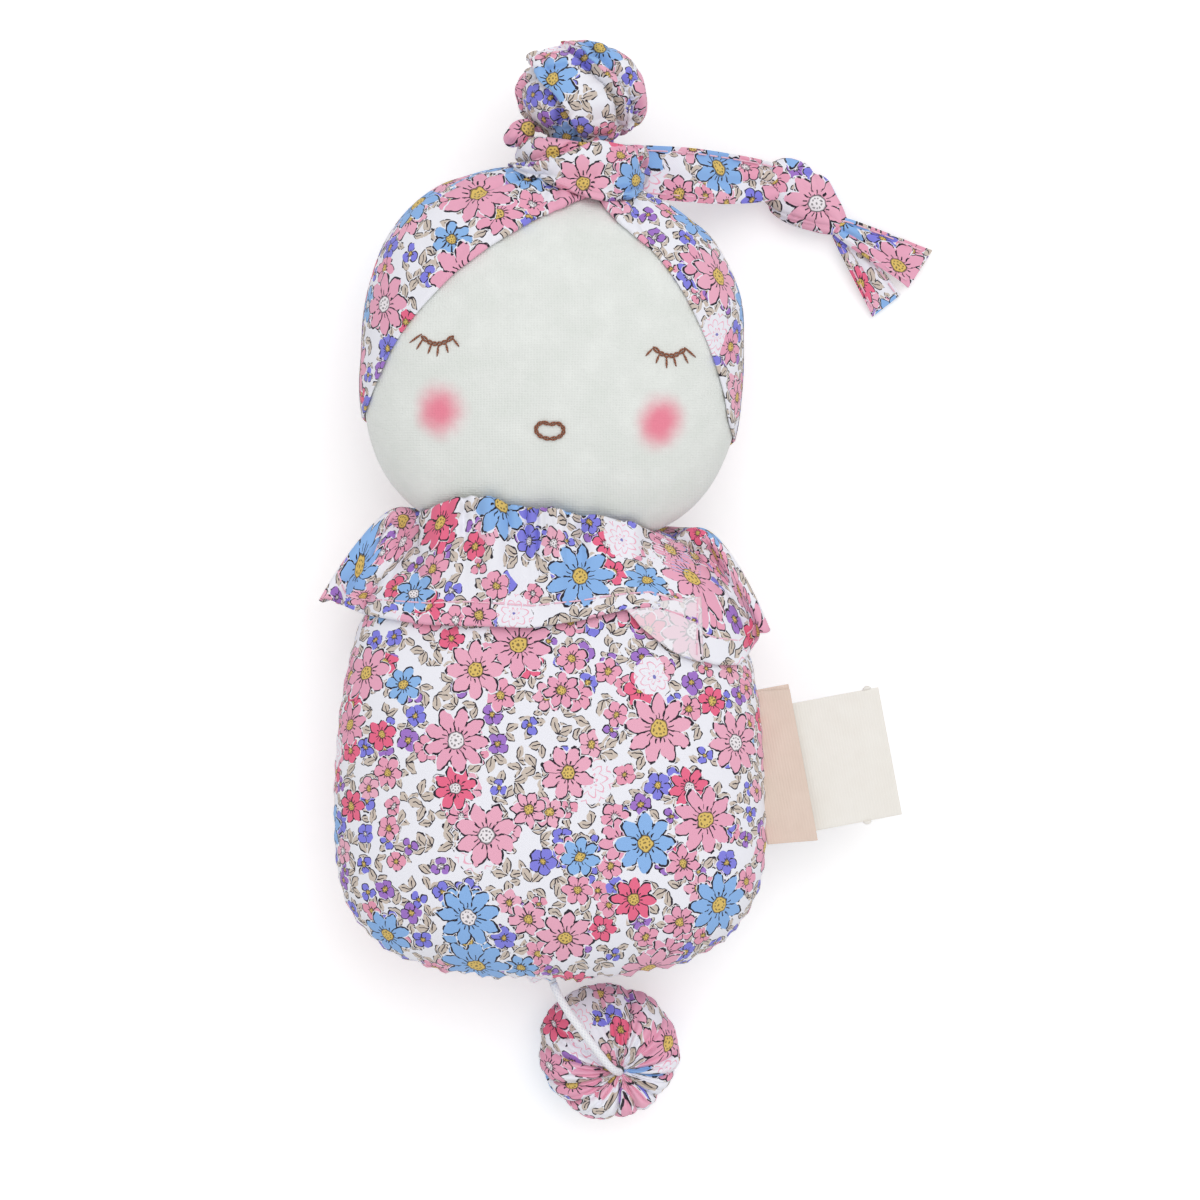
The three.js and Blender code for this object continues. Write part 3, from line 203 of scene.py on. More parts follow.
def tube(name, lines, radius, sides=10, taper=None):
    """One mesh of a tube along each line. taper(share) scales the radius along the line."""
    vertices, faces, map_places = [], [], []
    for line in lines:
        side = None
        run = 0.0
        for index, point in enumerate(line):
            ahead = line[min(index + 1, len(line) - 1)] - line[max(index - 1, 0)]
            ahead.normalize()
            side = side - ahead * side.dot(ahead) if side else ahead.orthogonal()
            side.normalize()
            across = ahead.cross(side)
            run += (point - line[index - 1]).length if index else 0.0
            reach = radius * (taper(index / (len(line) - 1)) if taper else 1.0)
            for corner in range(sides):
                turn = tau * corner / sides
                vertices.append(point + reach * (cos(turn) * side + sin(turn) * across))
                map_places.append((radius * turn, run))
        first = len(vertices) - len(line) * sides
        for ring in range(len(line) - 1):
            for corner in range(sides):
                a, b = first + ring * sides + corner, first + ring * sides + (corner + 1) % sides
                faces.append((a, b, b + sides, a + sides))
        faces.append(tuple(range(first + sides - 1, first - 1, -1)))
        last = len(vertices) - sides
        faces.append(tuple(range(last, last + sides)))

    def flat(vertex, polygon):
        u, v = map_places[vertex]
        wraps = u == 0 and any(map_places[i][0] > radius * 3.5 for i in polygon.vertices)
        return (u + tau * radius if wraps else u, v)

    obj = new_piece(name, vertices, faces)
    cloth_map(obj.data, flat)
    return obj


# %% [markdown]
# The pull cord is a 2 mm braided polyester cord. It leaves the seam at the doll's foot, sinks
# over the edge of the pom and goes down into its gathers. The route is the imported model's.

# %% White braid
def finished(obj, body, material, stands_for=()):
    """Gives a piece its finish, the body that it moves with and the nodes that it stands for."""
    obj.data.shade_smooth()
    obj.data.materials.clear()
    obj.data.materials.append(material)
    if body:
        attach(obj, body)
    if stands_for:
        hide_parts(*stands_for)
    print(obj.name, len(obj.data.polygons), "faces")
    return obj


def along_cloth(tree):
    """The map in metres: outputs 0 and 1 run across and up a cloth, or round and along a thread."""
    return add(tree, "SeparateXYZ", add(tree, "UVMap", uv_map="cloth"))


# Braided polyester: soft white, dull, with strands that cross at a slant
braid, tree = new_material("braided polyester cord")
strand_pitch = 0.9 * mm
run = along_cloth(tree)
slants = []
for way in (1, -1):
    round_it = add(tree, "Math MULTIPLY", run.outputs[0], way * tau / strand_pitch)
    slant = add(tree, "Math MULTIPLY_ADD", run.outputs[1], tau / (1.4 * strand_pitch), round_it)
    slants.append(add(tree, "Math SINE", slant))
strands = add(tree, "Math MAXIMUM", *slants)
relief = add(tree, "Bump", named={"Strength": 0.25, "Distance": 0.08 * mm, "Height": strands})
tint = add(tree, "ValToRGB", strands, stops=[(0, "e8e9f0"), (0.35, "f2f3f8"), (1, "f8f9fc")])
skin = add(tree, "BsdfPrincipled",
           named={"Base Color": tint, "Roughness": 0.75, "Sheen Weight": 0.2, "Normal": relief})
add(tree, "OutputMaterial", skin)

# %% Pull cord
cord_radius = 1.0 * mm
cord_start = Vector((0.858, -39.868, 27.58))
cord_middle = [(2, -42.6, 27.6), (4.8, -47.4, 26.9), (7.8, -51.6, 25.6), (10.2, -54.9, 24.4),
               (12.4, -57.9, 23.2), (14.4, -60.6, 21.6), (16.1, -62.3, 19.6), (17.25, -63, 17.7)]
cord_end = Vector((17.25, -63, 16.5))
cord_points = [cord_start * mm, *[Vector(p) * mm for p in cord_middle], cord_end * mm]
cord_line = smooth_line(cord_points, 4)
cord_length = sum((b - a).length for a, b in zip(cord_line, cord_line[1:]))
pull_cord = tube("cord_free", [cord_line], cord_radius, sides=16)
finished(pull_cord, None, braid, ["pull_cord"])
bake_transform(pull_cord)
print("cord", round(cord_length / mm, 1), "mm")

# %% [markdown]
# The cord's far end is tied in a stopper knot inside the pom, and its near end is wound on the
# reel of the movement. Both are hidden, and both are made as the cord is.

# %% Knot in the pom
pom_middle = Vector((14.25, -57, 10.5)) * mm
gather = pom_middle + Vector((3, -6, 0)) * mm
knot_middle = gather + Vector((0, 0, 1.8)) * mm
knot_size = 0.52
knot_line = []
for step in range(61):
    turn = tau * step / 60
    trefoil = Vector((sin(turn) + 2 * sin(2 * turn), cos(turn) - 2 * cos(2 * turn), -1.2 * sin(3 * turn)))
    knot_line.append(knot_middle + trefoil * knot_size * mm)
knot_tail = [knot_middle + Vector((0, 0, z)) * mm for z in (0.4, 1.6, 2.8, 3.9)]
knot = tube("cord_knot", [knot_line, knot_tail], 0.85 * mm)
finished(knot, "pull", braid, ["pull_cord_knot"])

# %% Cord on the reel
reel_middle = Vector((0, 6, 15.7))
winding_radius = 16.3
winding_turns = 2.4
winding_pitch = 2.6
seam_exit = Vector((0.75, -39.6, 27.5))
to_exit = seam_exit - reel_middle
opening = acos(winding_radius / hypot(to_exit.x, to_exit.y))
leaving = atan2(to_exit.y, to_exit.x) - opening
winding = []
winding_steps = 58
for step in range(winding_steps + 1):
    back = tau * winding_turns * (1 - step / winding_steps)
    spot = Vector((cos(leaving - back), sin(leaving - back), 0)) * winding_radius
    winding.append((reel_middle + spot + Vector((0, 0, winding_pitch * back / tau))) * mm)
run_out = [winding[-1].lerp(seam_exit * mm, share) for share in (0.2, 0.4, 0.6, 0.8, 1.0)]
wound_cord = tube("cord_wound", [smooth_line([*winding, *run_out], 2)], cord_radius)
finished(wound_cord, "doll", braid, ["wound_cord"])

# %% [markdown]
# The body and the head are stuffed bags: two flat pieces of cloth sewn together and filled until
# they swell. Their outline is fuller than an ellipse and so is their section. A sphere is carried
# to that form point by point, because no box or lathe gives a crown that dies away evenly to a
# seam. The same formula then answers how high the surface is under a stitch.

# %% The stuffed form
section_fullness = 2.2
body_form = {"width": 53.75 * mm, "top": 78 * mm, "bottom": 38.5 * mm, "depth": 28 * mm, "full": (2.8, 2.8)}
head_form = {"width": 46.8 * mm, "top": 48.5 * mm, "bottom": 43.5 * mm, "depth": 29 * mm,
             "full": (2.8, 2.6), "flat_at": radians(57)}
body_place = Matrix.Translation((0, 0, seam_height))
head_place = Matrix.Translation((0.5 * mm, 113.25 * mm, 30.3 * mm)) @ Matrix.Rotation(radians(-3), 4, "Z")


def outline_share(form, x, y, grow=0.0):
    """How far out a point lies in the form's outline: 0 in the middle, 1 on the seam."""
    reach, full = (form["top"], form["full"][0]) if y >= 0 else (form["bottom"], form["full"][1])
    share = (abs(x / (form["width"] + grow)) ** full + abs(y / (reach + grow)) ** full) ** (1 / full)
    if "flat_at" in form:
        turn = remainder(atan2(y, x) - form["flat_at"], tau)
        share /= 1 - 0.066 * exp(-((turn / radians(22)) ** 2))
    return share


def surface_height(form, x, y, grow=0.0):
    """How high the front of the form is over a point of its outline."""
    share = min(outline_share(form, x, y, grow), 1.0)
    return (form["depth"] + grow) * (1 - share ** section_fullness) ** (1 / section_fullness)


def swollen(form, point, grow=0.0):
    """Carries a point of the unit sphere to the stuffed form."""
    flat = hypot(point.x, point.y)
    full = (flat ** section_fullness + abs(point.z) ** section_fullness) ** (-1 / section_fullness)
    height = (form["depth"] + grow) * point.z * full
    if flat < 1e-6:
        return Vector((0, 0, height))
    x, y = point.x / flat, point.y / flat
    edge = 1 / outline_share(form, x, y, grow)
    return Vector((x * edge * flat * full, y * edge * flat * full, height))


def outward(form, point):
    """The direction out of the form at a point on it."""
    reach = form["top"] if point.y >= 0 else form["bottom"]
    slope = (point.x / form["width"] ** 2, point.y / reach ** 2, point.z / form["depth"] ** 2)
    return Vector(slope).normalized()


# %% Starting and working a mesh
def start(kind, name, **settings):
    """A primitive with nothing else selected, under its own name."""
    bpy.ops.object.select_all(action="DESELECT")
    getattr(bpy.ops.mesh, f"primitive_{kind}_add")(**settings)
    obj = bpy.context.object
    obj.name = obj.data.name = name
    return obj


def unit_ball(name, segments, rings):
    return start("uv_sphere", name, segments=segments, ring_count=rings, radius=1)


def worked(obj, kind, **settings):
    """A modifier with its settings, applied."""
    bpy.ops.object.select_all(action="DESELECT")
    bpy.context.view_layer.objects.active = obj
    modifier = obj.modifiers.new(kind.title(), kind)
    for key, value in settings.items():
        setattr(modifier, key, value)
    bpy.ops.object.modifier_apply(modifier=modifier.name)
    return obj


def cloth_area(obj):
    """The area of one side of a thin piece of cloth."""
    return sum(polygon.area for polygon in obj.data.polygons) / 2


def edited(obj, *steps):
    """Takes each step in edit mode, with the whole mesh selected."""
    bpy.context.view_layer.objects.active = obj
    bpy.ops.object.mode_set(mode="EDIT")
    for step in steps:
        bpy.ops.mesh.select_all(action="SELECT")
        step()
    bpy.ops.object.mode_set(mode="OBJECT")
    return obj


def half_kept(obj, normal):
    """The half of the mesh that the normal points to; the rest is cut away."""
    return edited(obj, lambda: bpy.ops.mesh.bisect(plane_co=(0, 0, 0), plane_no=normal, clear_inner=True),
                  lambda: bpy.ops.mesh.remove_doubles(threshold=1e-5))


def without(obj, dropped):
    """Deletes the points for which dropped(point) holds."""
    edited(obj, lambda: bpy.ops.mesh.select_all(action="DESELECT"))
    for vertex in obj.data.vertices:
        vertex.select = dropped(vertex.co.copy())
    bpy.ops.object.mode_set(mode="EDIT")
    bpy.ops.mesh.delete(type="VERT")
    bpy.ops.object.mode_set(mode="OBJECT")
    return obj


def moved_points(obj, place):
    """Carries each point of the mesh to place(point)."""
    for vertex in obj.data.vertices:
        vertex.co = place(vertex.co.copy())
    return obj


def laid_flat(obj, flat):
    """Maps a piece by shape: flat(corner, middle of its face) is the corner's place on the uncut cloth."""
    vertices = obj.data.vertices
    cloth_map(obj.data, lambda vertex, polygon: flat(vertices[vertex].co, polygon.center))
    return obj


def grid_cloth(name, columns, rows, place, flat):
    """A grid of cloth. For right from 0 to 1 and up from -0.5 to 0.5, place() and flat() give each
    point's place in the scene and on the uncut cloth."""
    cloth = start("grid", name, x_subdivisions=columns, y_subdivisions=rows, size=1)
    spots = [(vertex.co.x + 0.5, vertex.co.y) for vertex in cloth.data.vertices]
    flats = [flat(*spot) for spot in spots]
    for vertex, spot in zip(cloth.data.vertices, spots):
        vertex.co = place(*spot)
    cloth_map(cloth.data, lambda vertex, polygon: flats[vertex])
    return cloth


# %% [markdown]
# A stuffed panel's print keeps its size on the cloth, so it crowds towards the seam as the
# surface turns down. The map therefore measures along the cloth from the crown, by a short table
# of arc lengths, and the two panels of a bag are cut from different places of the cloth.

# %% Map of a stuffed panel
shares = np.linspace(0, 1, 400)
crown = (1 - shares ** section_fullness) ** (1 / section_fullness)


def arc_lengths(form):
    """The way along the cloth from the crown to each of the shares, as a share of the mean radius."""
    radius = (form["width"] * 2 + form["top"] + form["bottom"]) / 4
    steps = np.hypot(np.diff(shares) * radius, np.diff(crown) * form["depth"])
    return np.concatenate([[0], np.cumsum(steps)]) / radius


def section_arc(form, point, arcs, grow=0.0):
    """How far along the cloth a point lies from the crown; near the seam its height tells it best."""
    share = max(outline_share(form, point.x, point.y, grow), 1e-4)
    height = abs(point.z) / (form["depth"] + grow)
    full = (share ** section_fullness + height ** section_fullness) ** (1 / section_fullness)
    if height / full > 0.65:
        return float(np.interp(share / full, shares, arcs))
    return float(np.interp(height / full, crown[::-1], arcs[::-1]))


def panel_map(form, place, front, offset, grow=0.0):
    """The map of one panel, laid flat from its crown; the offset is its place on the cloth, in mm."""
    arcs = arc_lengths(form)
    back_in = place.inverted()

    def flat(corner, centre):
        local = back_in @ corner
        share = max(outline_share(form, local.x, local.y, grow), 1e-4)
        scale = section_arc(form, local, arcs, grow) / share
        side = 1 if front else -1
        return (local.x * scale * side + offset[0] * mm, local.y * scale + offset[1] * mm)
    return flat


# %% [markdown]
# The cotton is a fine printed lawn: small flowers packed on a white ground, in pinks, blue,
# raspberry, violet and beige leaves, each with a thin dark pen line. The layout here is made up
# for this doll. Each size of flower lives in the cells of its own loose grid, so that sizes
# overlap as in a real print; a cell gives its flower a middle, a turn, a tone and a chance to be
# missing. The angle round the middle is folded into one petal's share, so one oval draws them
# all, and the pen line is kept only on parts of the oval, as a quick pen leaves it.

# %% Flowers of the print
ink = linear("2b2530")
ground = linear("f2f2fa")
heart_share = 0.25


def cell_grid(tree, cloth, cell, seed, randomness):
    """The loose grid: where a point lies from its flower's middle, in cells, and three chances."""
    moved = add(tree, "VectorMath ADD", cloth, (seed * 3.1, seed * 1.7, 0))
    scaled = add(tree, "VectorMath SCALE", moved, named={"Scale": 1 / cell})
    grid = add(tree, "TexVoronoi", voronoi_dimensions="2D",
               named={"Vector": scaled, "Scale": 1.0, "Randomness": randomness})
    offset = add(tree, "VectorMath SUBTRACT", scaled, grid.outputs["Position"])
    chance = add(tree, "SeparateColor", grid.outputs["Color"])
    return offset, chance.outputs


def laid_over(tree, below, mask, colour, share=1.0):
    """The print with a colour laid over it where the mask is 1."""
    amount = add(tree, "Math MULTIPLY", mask, share)
    return add(tree, "Mix", data_type="RGBA", named={0: amount, 6: below, 7: colour}).outputs[2]


def tone_of(tree, chance, tones):
    """One of the tones, by chance: each is (the chance from which it holds, its colour)."""
    ramp = add(tree, "ValToRGB", chance, stops=tones)
    ramp.color_ramp.interpolation = "CONSTANT"
    return ramp.outputs[0]


def flowers(tree, cloth, below, pen_noise, cell, reach, petals, presence, seed, tones, pen,
            roundness=1.7, widest=0.4, open_bloom=None):
    """A layer of flowers over the print below: the grid's cell, the reach and the pen are in mm."""
    offset, chance = cell_grid(tree, cloth, cell, seed, 0.72)
    # Turned by chance, with each petal folded onto one: along it, and across it
    parts = add(tree, "SeparateXYZ", offset)
    radius = add(tree, "VectorMath LENGTH", offset).outputs["Value"]
    angle = add(tree, "Math ARCTAN2", parts.outputs[1], parts.outputs[0])
    turned = add(tree, "Math MULTIPLY_ADD", chance[0], tau, angle)
    number = add(tree, "Math MULTIPLY_ADD", chance[1], 2.0, petals - 0.5)
    share = add(tree, "Math DIVIDE", pi, ("ROUND", number))
    lower = add(tree, "Math MULTIPLY", share, -1.0)
    folded = add(tree, "Math WRAP", turned, share, lower)
    size = add(tree, "Math MULTIPLY_ADD", chance[1], 0.3 * reach / cell, 0.7 * reach / cell)
    out = add(tree, "Math DIVIDE", radius, size)
    along = add(tree, "Math MULTIPLY", out, ("COSINE", folded))
    across = add(tree, "Math MULTIPLY", out, ("SINE", folded))
    # One petal is a blunt oval, and a cell has its flower by chance
    wide = add(tree, "Math MINIMUM", ("MULTIPLY", ("TANGENT", share), 0.58), widest)
    sidelong = add(tree, "Math ABSOLUTE", across)
    beside = add(tree, "Math POWER", ("DIVIDE", sidelong, wide), roundness)
    lengthwise = add(tree, "Math MULTIPLY", ("SUBTRACT", along, 0.6), 2.5)
    edge = add(tree, "Math MULTIPLY_ADD", lengthwise, lengthwise, beside)
    there = add(tree, "Math LESS_THAN", chance[2], presence)
    inside = add(tree, "Math MULTIPLY", ("LESS_THAN", edge, 1.0), there)
    # Pen lines: parts of the outline, a dash down each petal and a parting between petals
    nib_share = add(tree, "Math DIVIDE", pen / cell, size)
    nib_edge = add(tree, "Math MULTIPLY", ("DIVIDE", nib_share, wide), roundness)
    rim = add(tree, "Math COMPARE", edge, 1.0, nib_edge)
    one_side = add(tree, "Math GREATER_THAN", across, 0.0)
    drawn = add(tree, "Math GREATER_THAN", ("MULTIPLY_ADD", one_side, 0.2, pen_noise), 0.52)
    rim = add(tree, "Math MULTIPLY", ("MULTIPLY", rim, drawn), there)
    dash = add(tree, "Math LESS_THAN", sidelong, ("MULTIPLY", nib_share, 0.8))
    close = add(tree, "Math COMPARE", out, 0.36, 0.07)
    dash = add(tree, "Math MULTIPLY", ("MULTIPLY", dash, close), inside)
    parting = add(tree, "Math SUBTRACT", ("ABSOLUTE", folded), share)
    parting = add(tree, "Math GREATER_THAN", ("MULTIPLY", parting, out), ("MULTIPLY", nib_share, -1.0))
    parting = add(tree, "Math MULTIPLY", ("MULTIPLY", parting, inside), drawn)
    lines = add(tree, "Math MAXIMUM", rim, ("MAXIMUM", dash, parting))
    # Laid over the print: a white rim, the petals and the lines
    clear = add(tree, "Math LESS_THAN", edge, ("MULTIPLY_ADD", nib_edge, 1.7, 1.0))
    colour = laid_over(tree, below, ("MULTIPLY", clear, there), ground)
    colour = laid_over(tree, colour, inside, tone_of(tree, chance[0], tones))
    colour = laid_over(tree, colour, lines, ink)
    # The heart: gold or white, ringed, with dots in it
    heart = add(tree, "Math MULTIPLY", ("LESS_THAN", out, heart_share), there)
    hue = tone_of(tree, chance[1], [(0, "e3c36c"), (0.45, "f4eef2"), (0.62, "e3c36c")])
    colour = laid_over(tree, colour, heart, hue)
    ring = add(tree, "Math COMPARE", out, heart_share, nib_share)
    dots = add(tree, "Math GREATER_THAN", ("ABSOLUTE", folded), ("MULTIPLY", share, 0.45))
    inner_ring = add(tree, "Math MULTIPLY", ("COMPARE", out, 0.15, nib_share), dots)
    middle = add(tree, "Math LESS_THAN", out, 0.04)
    marks = add(tree, "Math MAXIMUM", ring, ("MAXIMUM", inner_ring, middle))
    colour = laid_over(tree, colour, ("MULTIPLY", marks, there), ink, 0.7)
    if open_bloom:
        # Now and then a white bloom instead, with rows of frilled petals in outline
        rare = add(tree, "Math MULTIPLY", ("GREATER_THAN", chance[0], 0.84), ("LESS_THAN", out, 0.98))
        rare = add(tree, "Math MULTIPLY", rare, there)
        colour = laid_over(tree, colour, rare, ground)
        frill = add(tree, "Math COSINE", ("MULTIPLY", ("DIVIDE", folded, share), pi / 2))
        rows = add(tree, "Math SUBTRACT", ("MULTIPLY", out, 2.5), ("MULTIPLY", frill, 0.7))
        rows = add(tree, "Math LESS_THAN", ("FRACT", rows), 0.17)
        colour = laid_over(tree, colour, ("MULTIPLY", rows, rare), open_bloom)
        dot = add(tree, "Math MULTIPLY", ("LESS_THAN", out, 0.09), rare)
        colour = laid_over(tree, colour, dot, linear("7f7fc4"))
    return colour


# %% Leaves of the print
def leaves(tree, cloth, below, pen_noise, cell, length, width, presence, seed):
    """Two leaves on a stalk in each cell, drawn as one and folded over its middle line. In mm."""
    offset, chance = cell_grid(tree, cloth, cell, seed, 0.55)
    turn = add(tree, "Math MULTIPLY", chance[0], tau)
    swung = add(tree, "VectorRotate", offset, rotation_type="Z_AXIS", named={"Angle": turn})
    parts = add(tree, "SeparateXYZ", add(tree, "VectorMath ADD", swung, (0.45 * length / cell, 0, 0)))
    mirrored = add(tree, "Math ABSOLUTE", parts.outputs[1])
    folded = add(tree, "CombineXYZ", parts.outputs[0], mirrored)
    leaf = add(tree, "VectorRotate", folded, rotation_type="Z_AXIS", named={"Angle": -0.68})
    along = add(tree, "SeparateXYZ", leaf)
    half = length / 2 / cell
    middle = add(tree, "Math MULTIPLY", ("SUBTRACT", along.outputs[0], 1.08 * half), 1 / half)
    square = add(tree, "Math MULTIPLY", middle, middle)
    wide = add(tree, "Math MULTIPLY", ("SUBTRACT", 1.0, square), width / 2 / cell)
    off = add(tree, "Math ABSOLUTE", along.outputs[1])
    there = add(tree, "Math LESS_THAN", chance[2], presence)
    inside = add(tree, "Math MULTIPLY", ("LESS_THAN", off, wide), there)
    nib = 0.15 / cell
    rim = add(tree, "Math COMPARE", off, wide, nib)
    above = add(tree, "Math GREATER_THAN", along.outputs[1], 0.0)
    drawn = add(tree, "Math GREATER_THAN", ("MULTIPLY_ADD", above, 0.2, pen_noise), 0.56)
    rim = add(tree, "Math MULTIPLY", ("MULTIPLY", rim, drawn), there)
    short = add(tree, "Math MULTIPLY", ("LESS_THAN", middle, 0.35), inside)
    rib = add(tree, "Math MULTIPLY", ("LESS_THAN", off, 0.8 * nib), short)
    lines = add(tree, "Math MAXIMUM", rim, rib)
    clear = add(tree, "Math LESS_THAN", off, ("ADD", wide, 0.38 / cell))
    colour = laid_over(tree, below, ("MULTIPLY", clear, there), ground)
    colour = laid_over(tree, colour, inside, linear("d2c4b8"))
    return laid_over(tree, colour, lines, ink)


# %% The whole print, as one group
floral = bpy.data.node_groups.new("small floral print", "ShaderNodeTree")
floral.interface.new_socket(name="Colour", in_out="OUTPUT", socket_type="NodeSocketColor")
cloth = add(floral, "VectorMath SCALE", add(floral, "UVMap", uv_map="cloth"), named={"Scale": 1 / mm})
wander = add(floral, "TexNoise", noise_dimensions="2D", named={"Vector": cloth, "Scale": 0.45, "Detail": 1.0})
bend = add(floral, "VectorMath SUBTRACT", wander.outputs["Color"], (0.5, 0.5, 0.5))
bend = add(floral, "VectorMath SCALE", bend, named={"Scale": 1.1})
drawn = add(floral, "VectorMath ADD", cloth, bend)
pen_noise = add(floral, "TexNoise", noise_dimensions="2D",
                named={"Vector": cloth, "Scale": 0.7, "Detail": 0.0})
pinks = [(0, "eeabc4"), (0.48, "8fbaef"), (0.74, "f0b0c7")]
mixed = [(0, "eda6c0"), (0.4, "ee6f90"), (0.51, "90bbee"), (0.66, "f1b1c8")]
small = [(0, "ee6c8e"), (0.16, "efa6bf"), (0.55, "8785e4"), (0.74, "f0b3c8")]
buds = [(0, "a578cd"), (0.42, "8684e6"), (0.78, "eda0b8")]
colour = leaves(floral, drawn, ground, pen_noise, cell=5.6, length=3.4, width=1.9, presence=0.88, seed=3.0)
colour = leaves(floral, drawn, colour, pen_noise, cell=6.8, length=4.1, width=2.2, presence=0.78, seed=11.0)
colour = flowers(floral, drawn, colour, pen_noise, cell=7.2, reach=3.0, petals=3, presence=0.6, seed=7.0,
                 tones=buds, pen=0.15, roundness=2.0, widest=0.5)
colour = flowers(floral, drawn, colour, pen_noise, cell=9.4, reach=4.4, petals=5, presence=0.58, seed=17.0,
                 tones=small, pen=0.16, roundness=2.0, widest=0.42)
colour = flowers(floral, drawn, colour, pen_noise, cell=14.5, reach=6.4, petals=7, presence=0.6, seed=23.0,
                 tones=mixed, pen=0.18, open_bloom=linear("f3b7cb"))
colour = flowers(floral, drawn, colour, pen_noise, cell=22.0, reach=9.6, petals=8, presence=0.8, seed=31.0,
                 tones=pinks, pen=0.2)
add(floral, "NodeGroupOutput", colour)
print("print nodes", len(floral.nodes))

# %% [markdown]
# Cotton lawn is matt with a faint fibre sheen, and its plain weave has about 30 threads to the
# centimetre. The weave is drawn at half that count, because the real one is finer than a pixel.
# The wrong side of a printed cloth shows the print faintly, as the turned corner of the collar does.

# %% Cotton, right side and wrong side
thread_pitch = 0.62 * mm


def cotton(name, faded):
    material, tree = new_material(name)
    printed = add(tree, "Group", node_tree=floral)
    colour = add(tree, "Mix", data_type="RGBA", named={0: faded, 6: printed, 7: linear("f4f1f6")}).outputs[2]
    run = along_cloth(tree)
    warp = add(tree, "Math SINE", ("MULTIPLY", run.outputs[0], tau / thread_pitch))
    weft = add(tree, "Math SINE", ("MULTIPLY", run.outputs[1], tau / thread_pitch))
    weave = add(tree, "Math MULTIPLY", warp, weft)
    creases = add(tree, "TexNoise",
                  named={"Vector": add(tree, "TexCoord").outputs["Object"], "Scale": 90.0, "Detail": 3.0})
    relief = add(tree, "Bump", named={"Strength": 0.25, "Distance": 0.6 * mm, "Height": creases})
    relief = add(tree, "Bump",
                 named={"Strength": 0.16, "Distance": 0.08 * mm, "Height": weave, "Normal": relief})
    skin = add(tree, "BsdfPrincipled",
               named={"Base Color": colour, "Roughness": 0.82, "Specular IOR Level": 0.25,
                      "Sheen Weight": 0.12, "Normal": relief})
    add(tree, "OutputMaterial", skin)
    return material


print_cotton = cotton("printed cotton lawn", 0.0)
wrong_side = cotton("wrong side of printed cotton lawn", 0.66)


def in_print(obj, *stands_for, body="doll"):
    return finished(obj, body, print_cotton, stands_for)


# %% [markdown]
# The face is a cream velour: a knitted ground with a short dense pile. The pile lies in patches
# where hands have stroked it, so it shows lighter and darker strokes, and it glows at the edges,
# which is what sheen does in the shader. The blush is dabbed on with a dry brush, so it is
# strongest in the middle and has no rim.

# %% Velour
cheeks = [(-26.6, -12.6), (27.6, -12.3)]
cheek_rim, cheek_core = 9.2 * mm, 0.8 * mm
velour, tree = new_material("cream cotton velour")
place = add(tree, "TexCoord").outputs["Object"]
strokes = add(tree, "TexNoise", named={"Vector": place, "Scale": 120.0, "Detail": 3.0, "Roughness": 0.6})
pile = add(tree, "TexNoise", named={"Vector": place, "Scale": 1700.0, "Detail": 2.0})
sway = add(tree, "TexNoise", named={"Vector": place, "Scale": 45.0, "Detail": 2.0}).outputs["Color"]
sway = add(tree, "VectorMath SCALE", sway, named={"Scale": 1.6 * mm})
run = add(tree, "SeparateXYZ", add(tree, "VectorMath ADD", place, sway))
wale_pitch, course_pitch = 0.72 * mm, 0.6 * mm
wales = add(tree, "Math SINE", ("MULTIPLY", run.outputs[0], tau / wale_pitch))
courses = add(tree, "Math SINE", ("MULTIPLY", run.outputs[1], tau / course_pitch))
knit = add(tree, "Math ADD", wales, courses)
colour = add(tree, "ValToRGB", strokes, stops=[(0.3, "e5e9e4"), (0.5, "e9ece8"), (0.7, "eef1ed")])
shade = add(tree, "Math MULTIPLY", ("MULTIPLY", knit, pile), 0.05)
colour = add(tree, "Mix", data_type="RGBA", named={0: shade, 6: colour, 7: linear("c9ccc2")}).outputs[2]
for x, y in cheeks:
    middle = head_place @ Vector((x * mm, y * mm, surface_height(head_form, x * mm, y * mm)))
    away = add(tree, "VectorMath DISTANCE", place, tuple(middle)).outputs["Value"]
    away = add(tree, "Math MULTIPLY_ADD", ("SUBTRACT", strokes, 0.5), 4 * mm, away)
    dab = add(tree, "MapRange", interpolation_type="SMOOTHERSTEP",
              named={"Value": away, "From Min": cheek_rim, "From Max": cheek_core, "To Min": 0.0,
                     "To Max": 0.95})
    colour = add(tree, "Mix", data_type="RGBA", named={0: dab, 6: colour, 7: linear("f2849c")}).outputs[2]
rough = add(tree, "Math ADD", strokes, pile)
relief = add(tree, "Bump", named={"Strength": 0.35, "Distance": 0.35 * mm, "Height": rough})
relief = add(tree, "Bump", named={"Strength": 0.22, "Distance": 0.1 * mm, "Height": knit, "Normal": relief})
skin = add(tree, "BsdfPrincipled",
           named={"Base Color": colour, "Roughness": 0.95, "Specular IOR Level": 0.15, "Sheen Weight": 0.35,
                  "Sheen Roughness": 0.5, "Normal": relief})
add(tree, "OutputMaterial", skin)

# %% [markdown]
# The filling is loose polyester fibre: very white, with no surface of its own, so it is rough,
# tangled and lets light soften its dips.

# %% Wadding
wadding, tree = new_material("polyester fibre filling")
place = add(tree, "TexCoord").outputs["Object"]
tangle = add(tree, "TexNoise",
             named={"Vector": place, "Scale": 260.0, "Detail": 6.0, "Roughness": 0.75, "Distortion": 1.2})
colour = add(tree, "ValToRGB", tangle, stops=[(0, "dfe0df"), (1, "fbfbf9")])
relief = add(tree, "Bump", named={"Strength": 0.8, "Distance": 1.2 * mm, "Height": tangle})
skin = add(tree, "BsdfPrincipled",
           named={"Base Color": colour, "Roughness": 1.0, "Sheen Weight": 0.4, "Normal": relief})
add(tree, "OutputMaterial", skin)

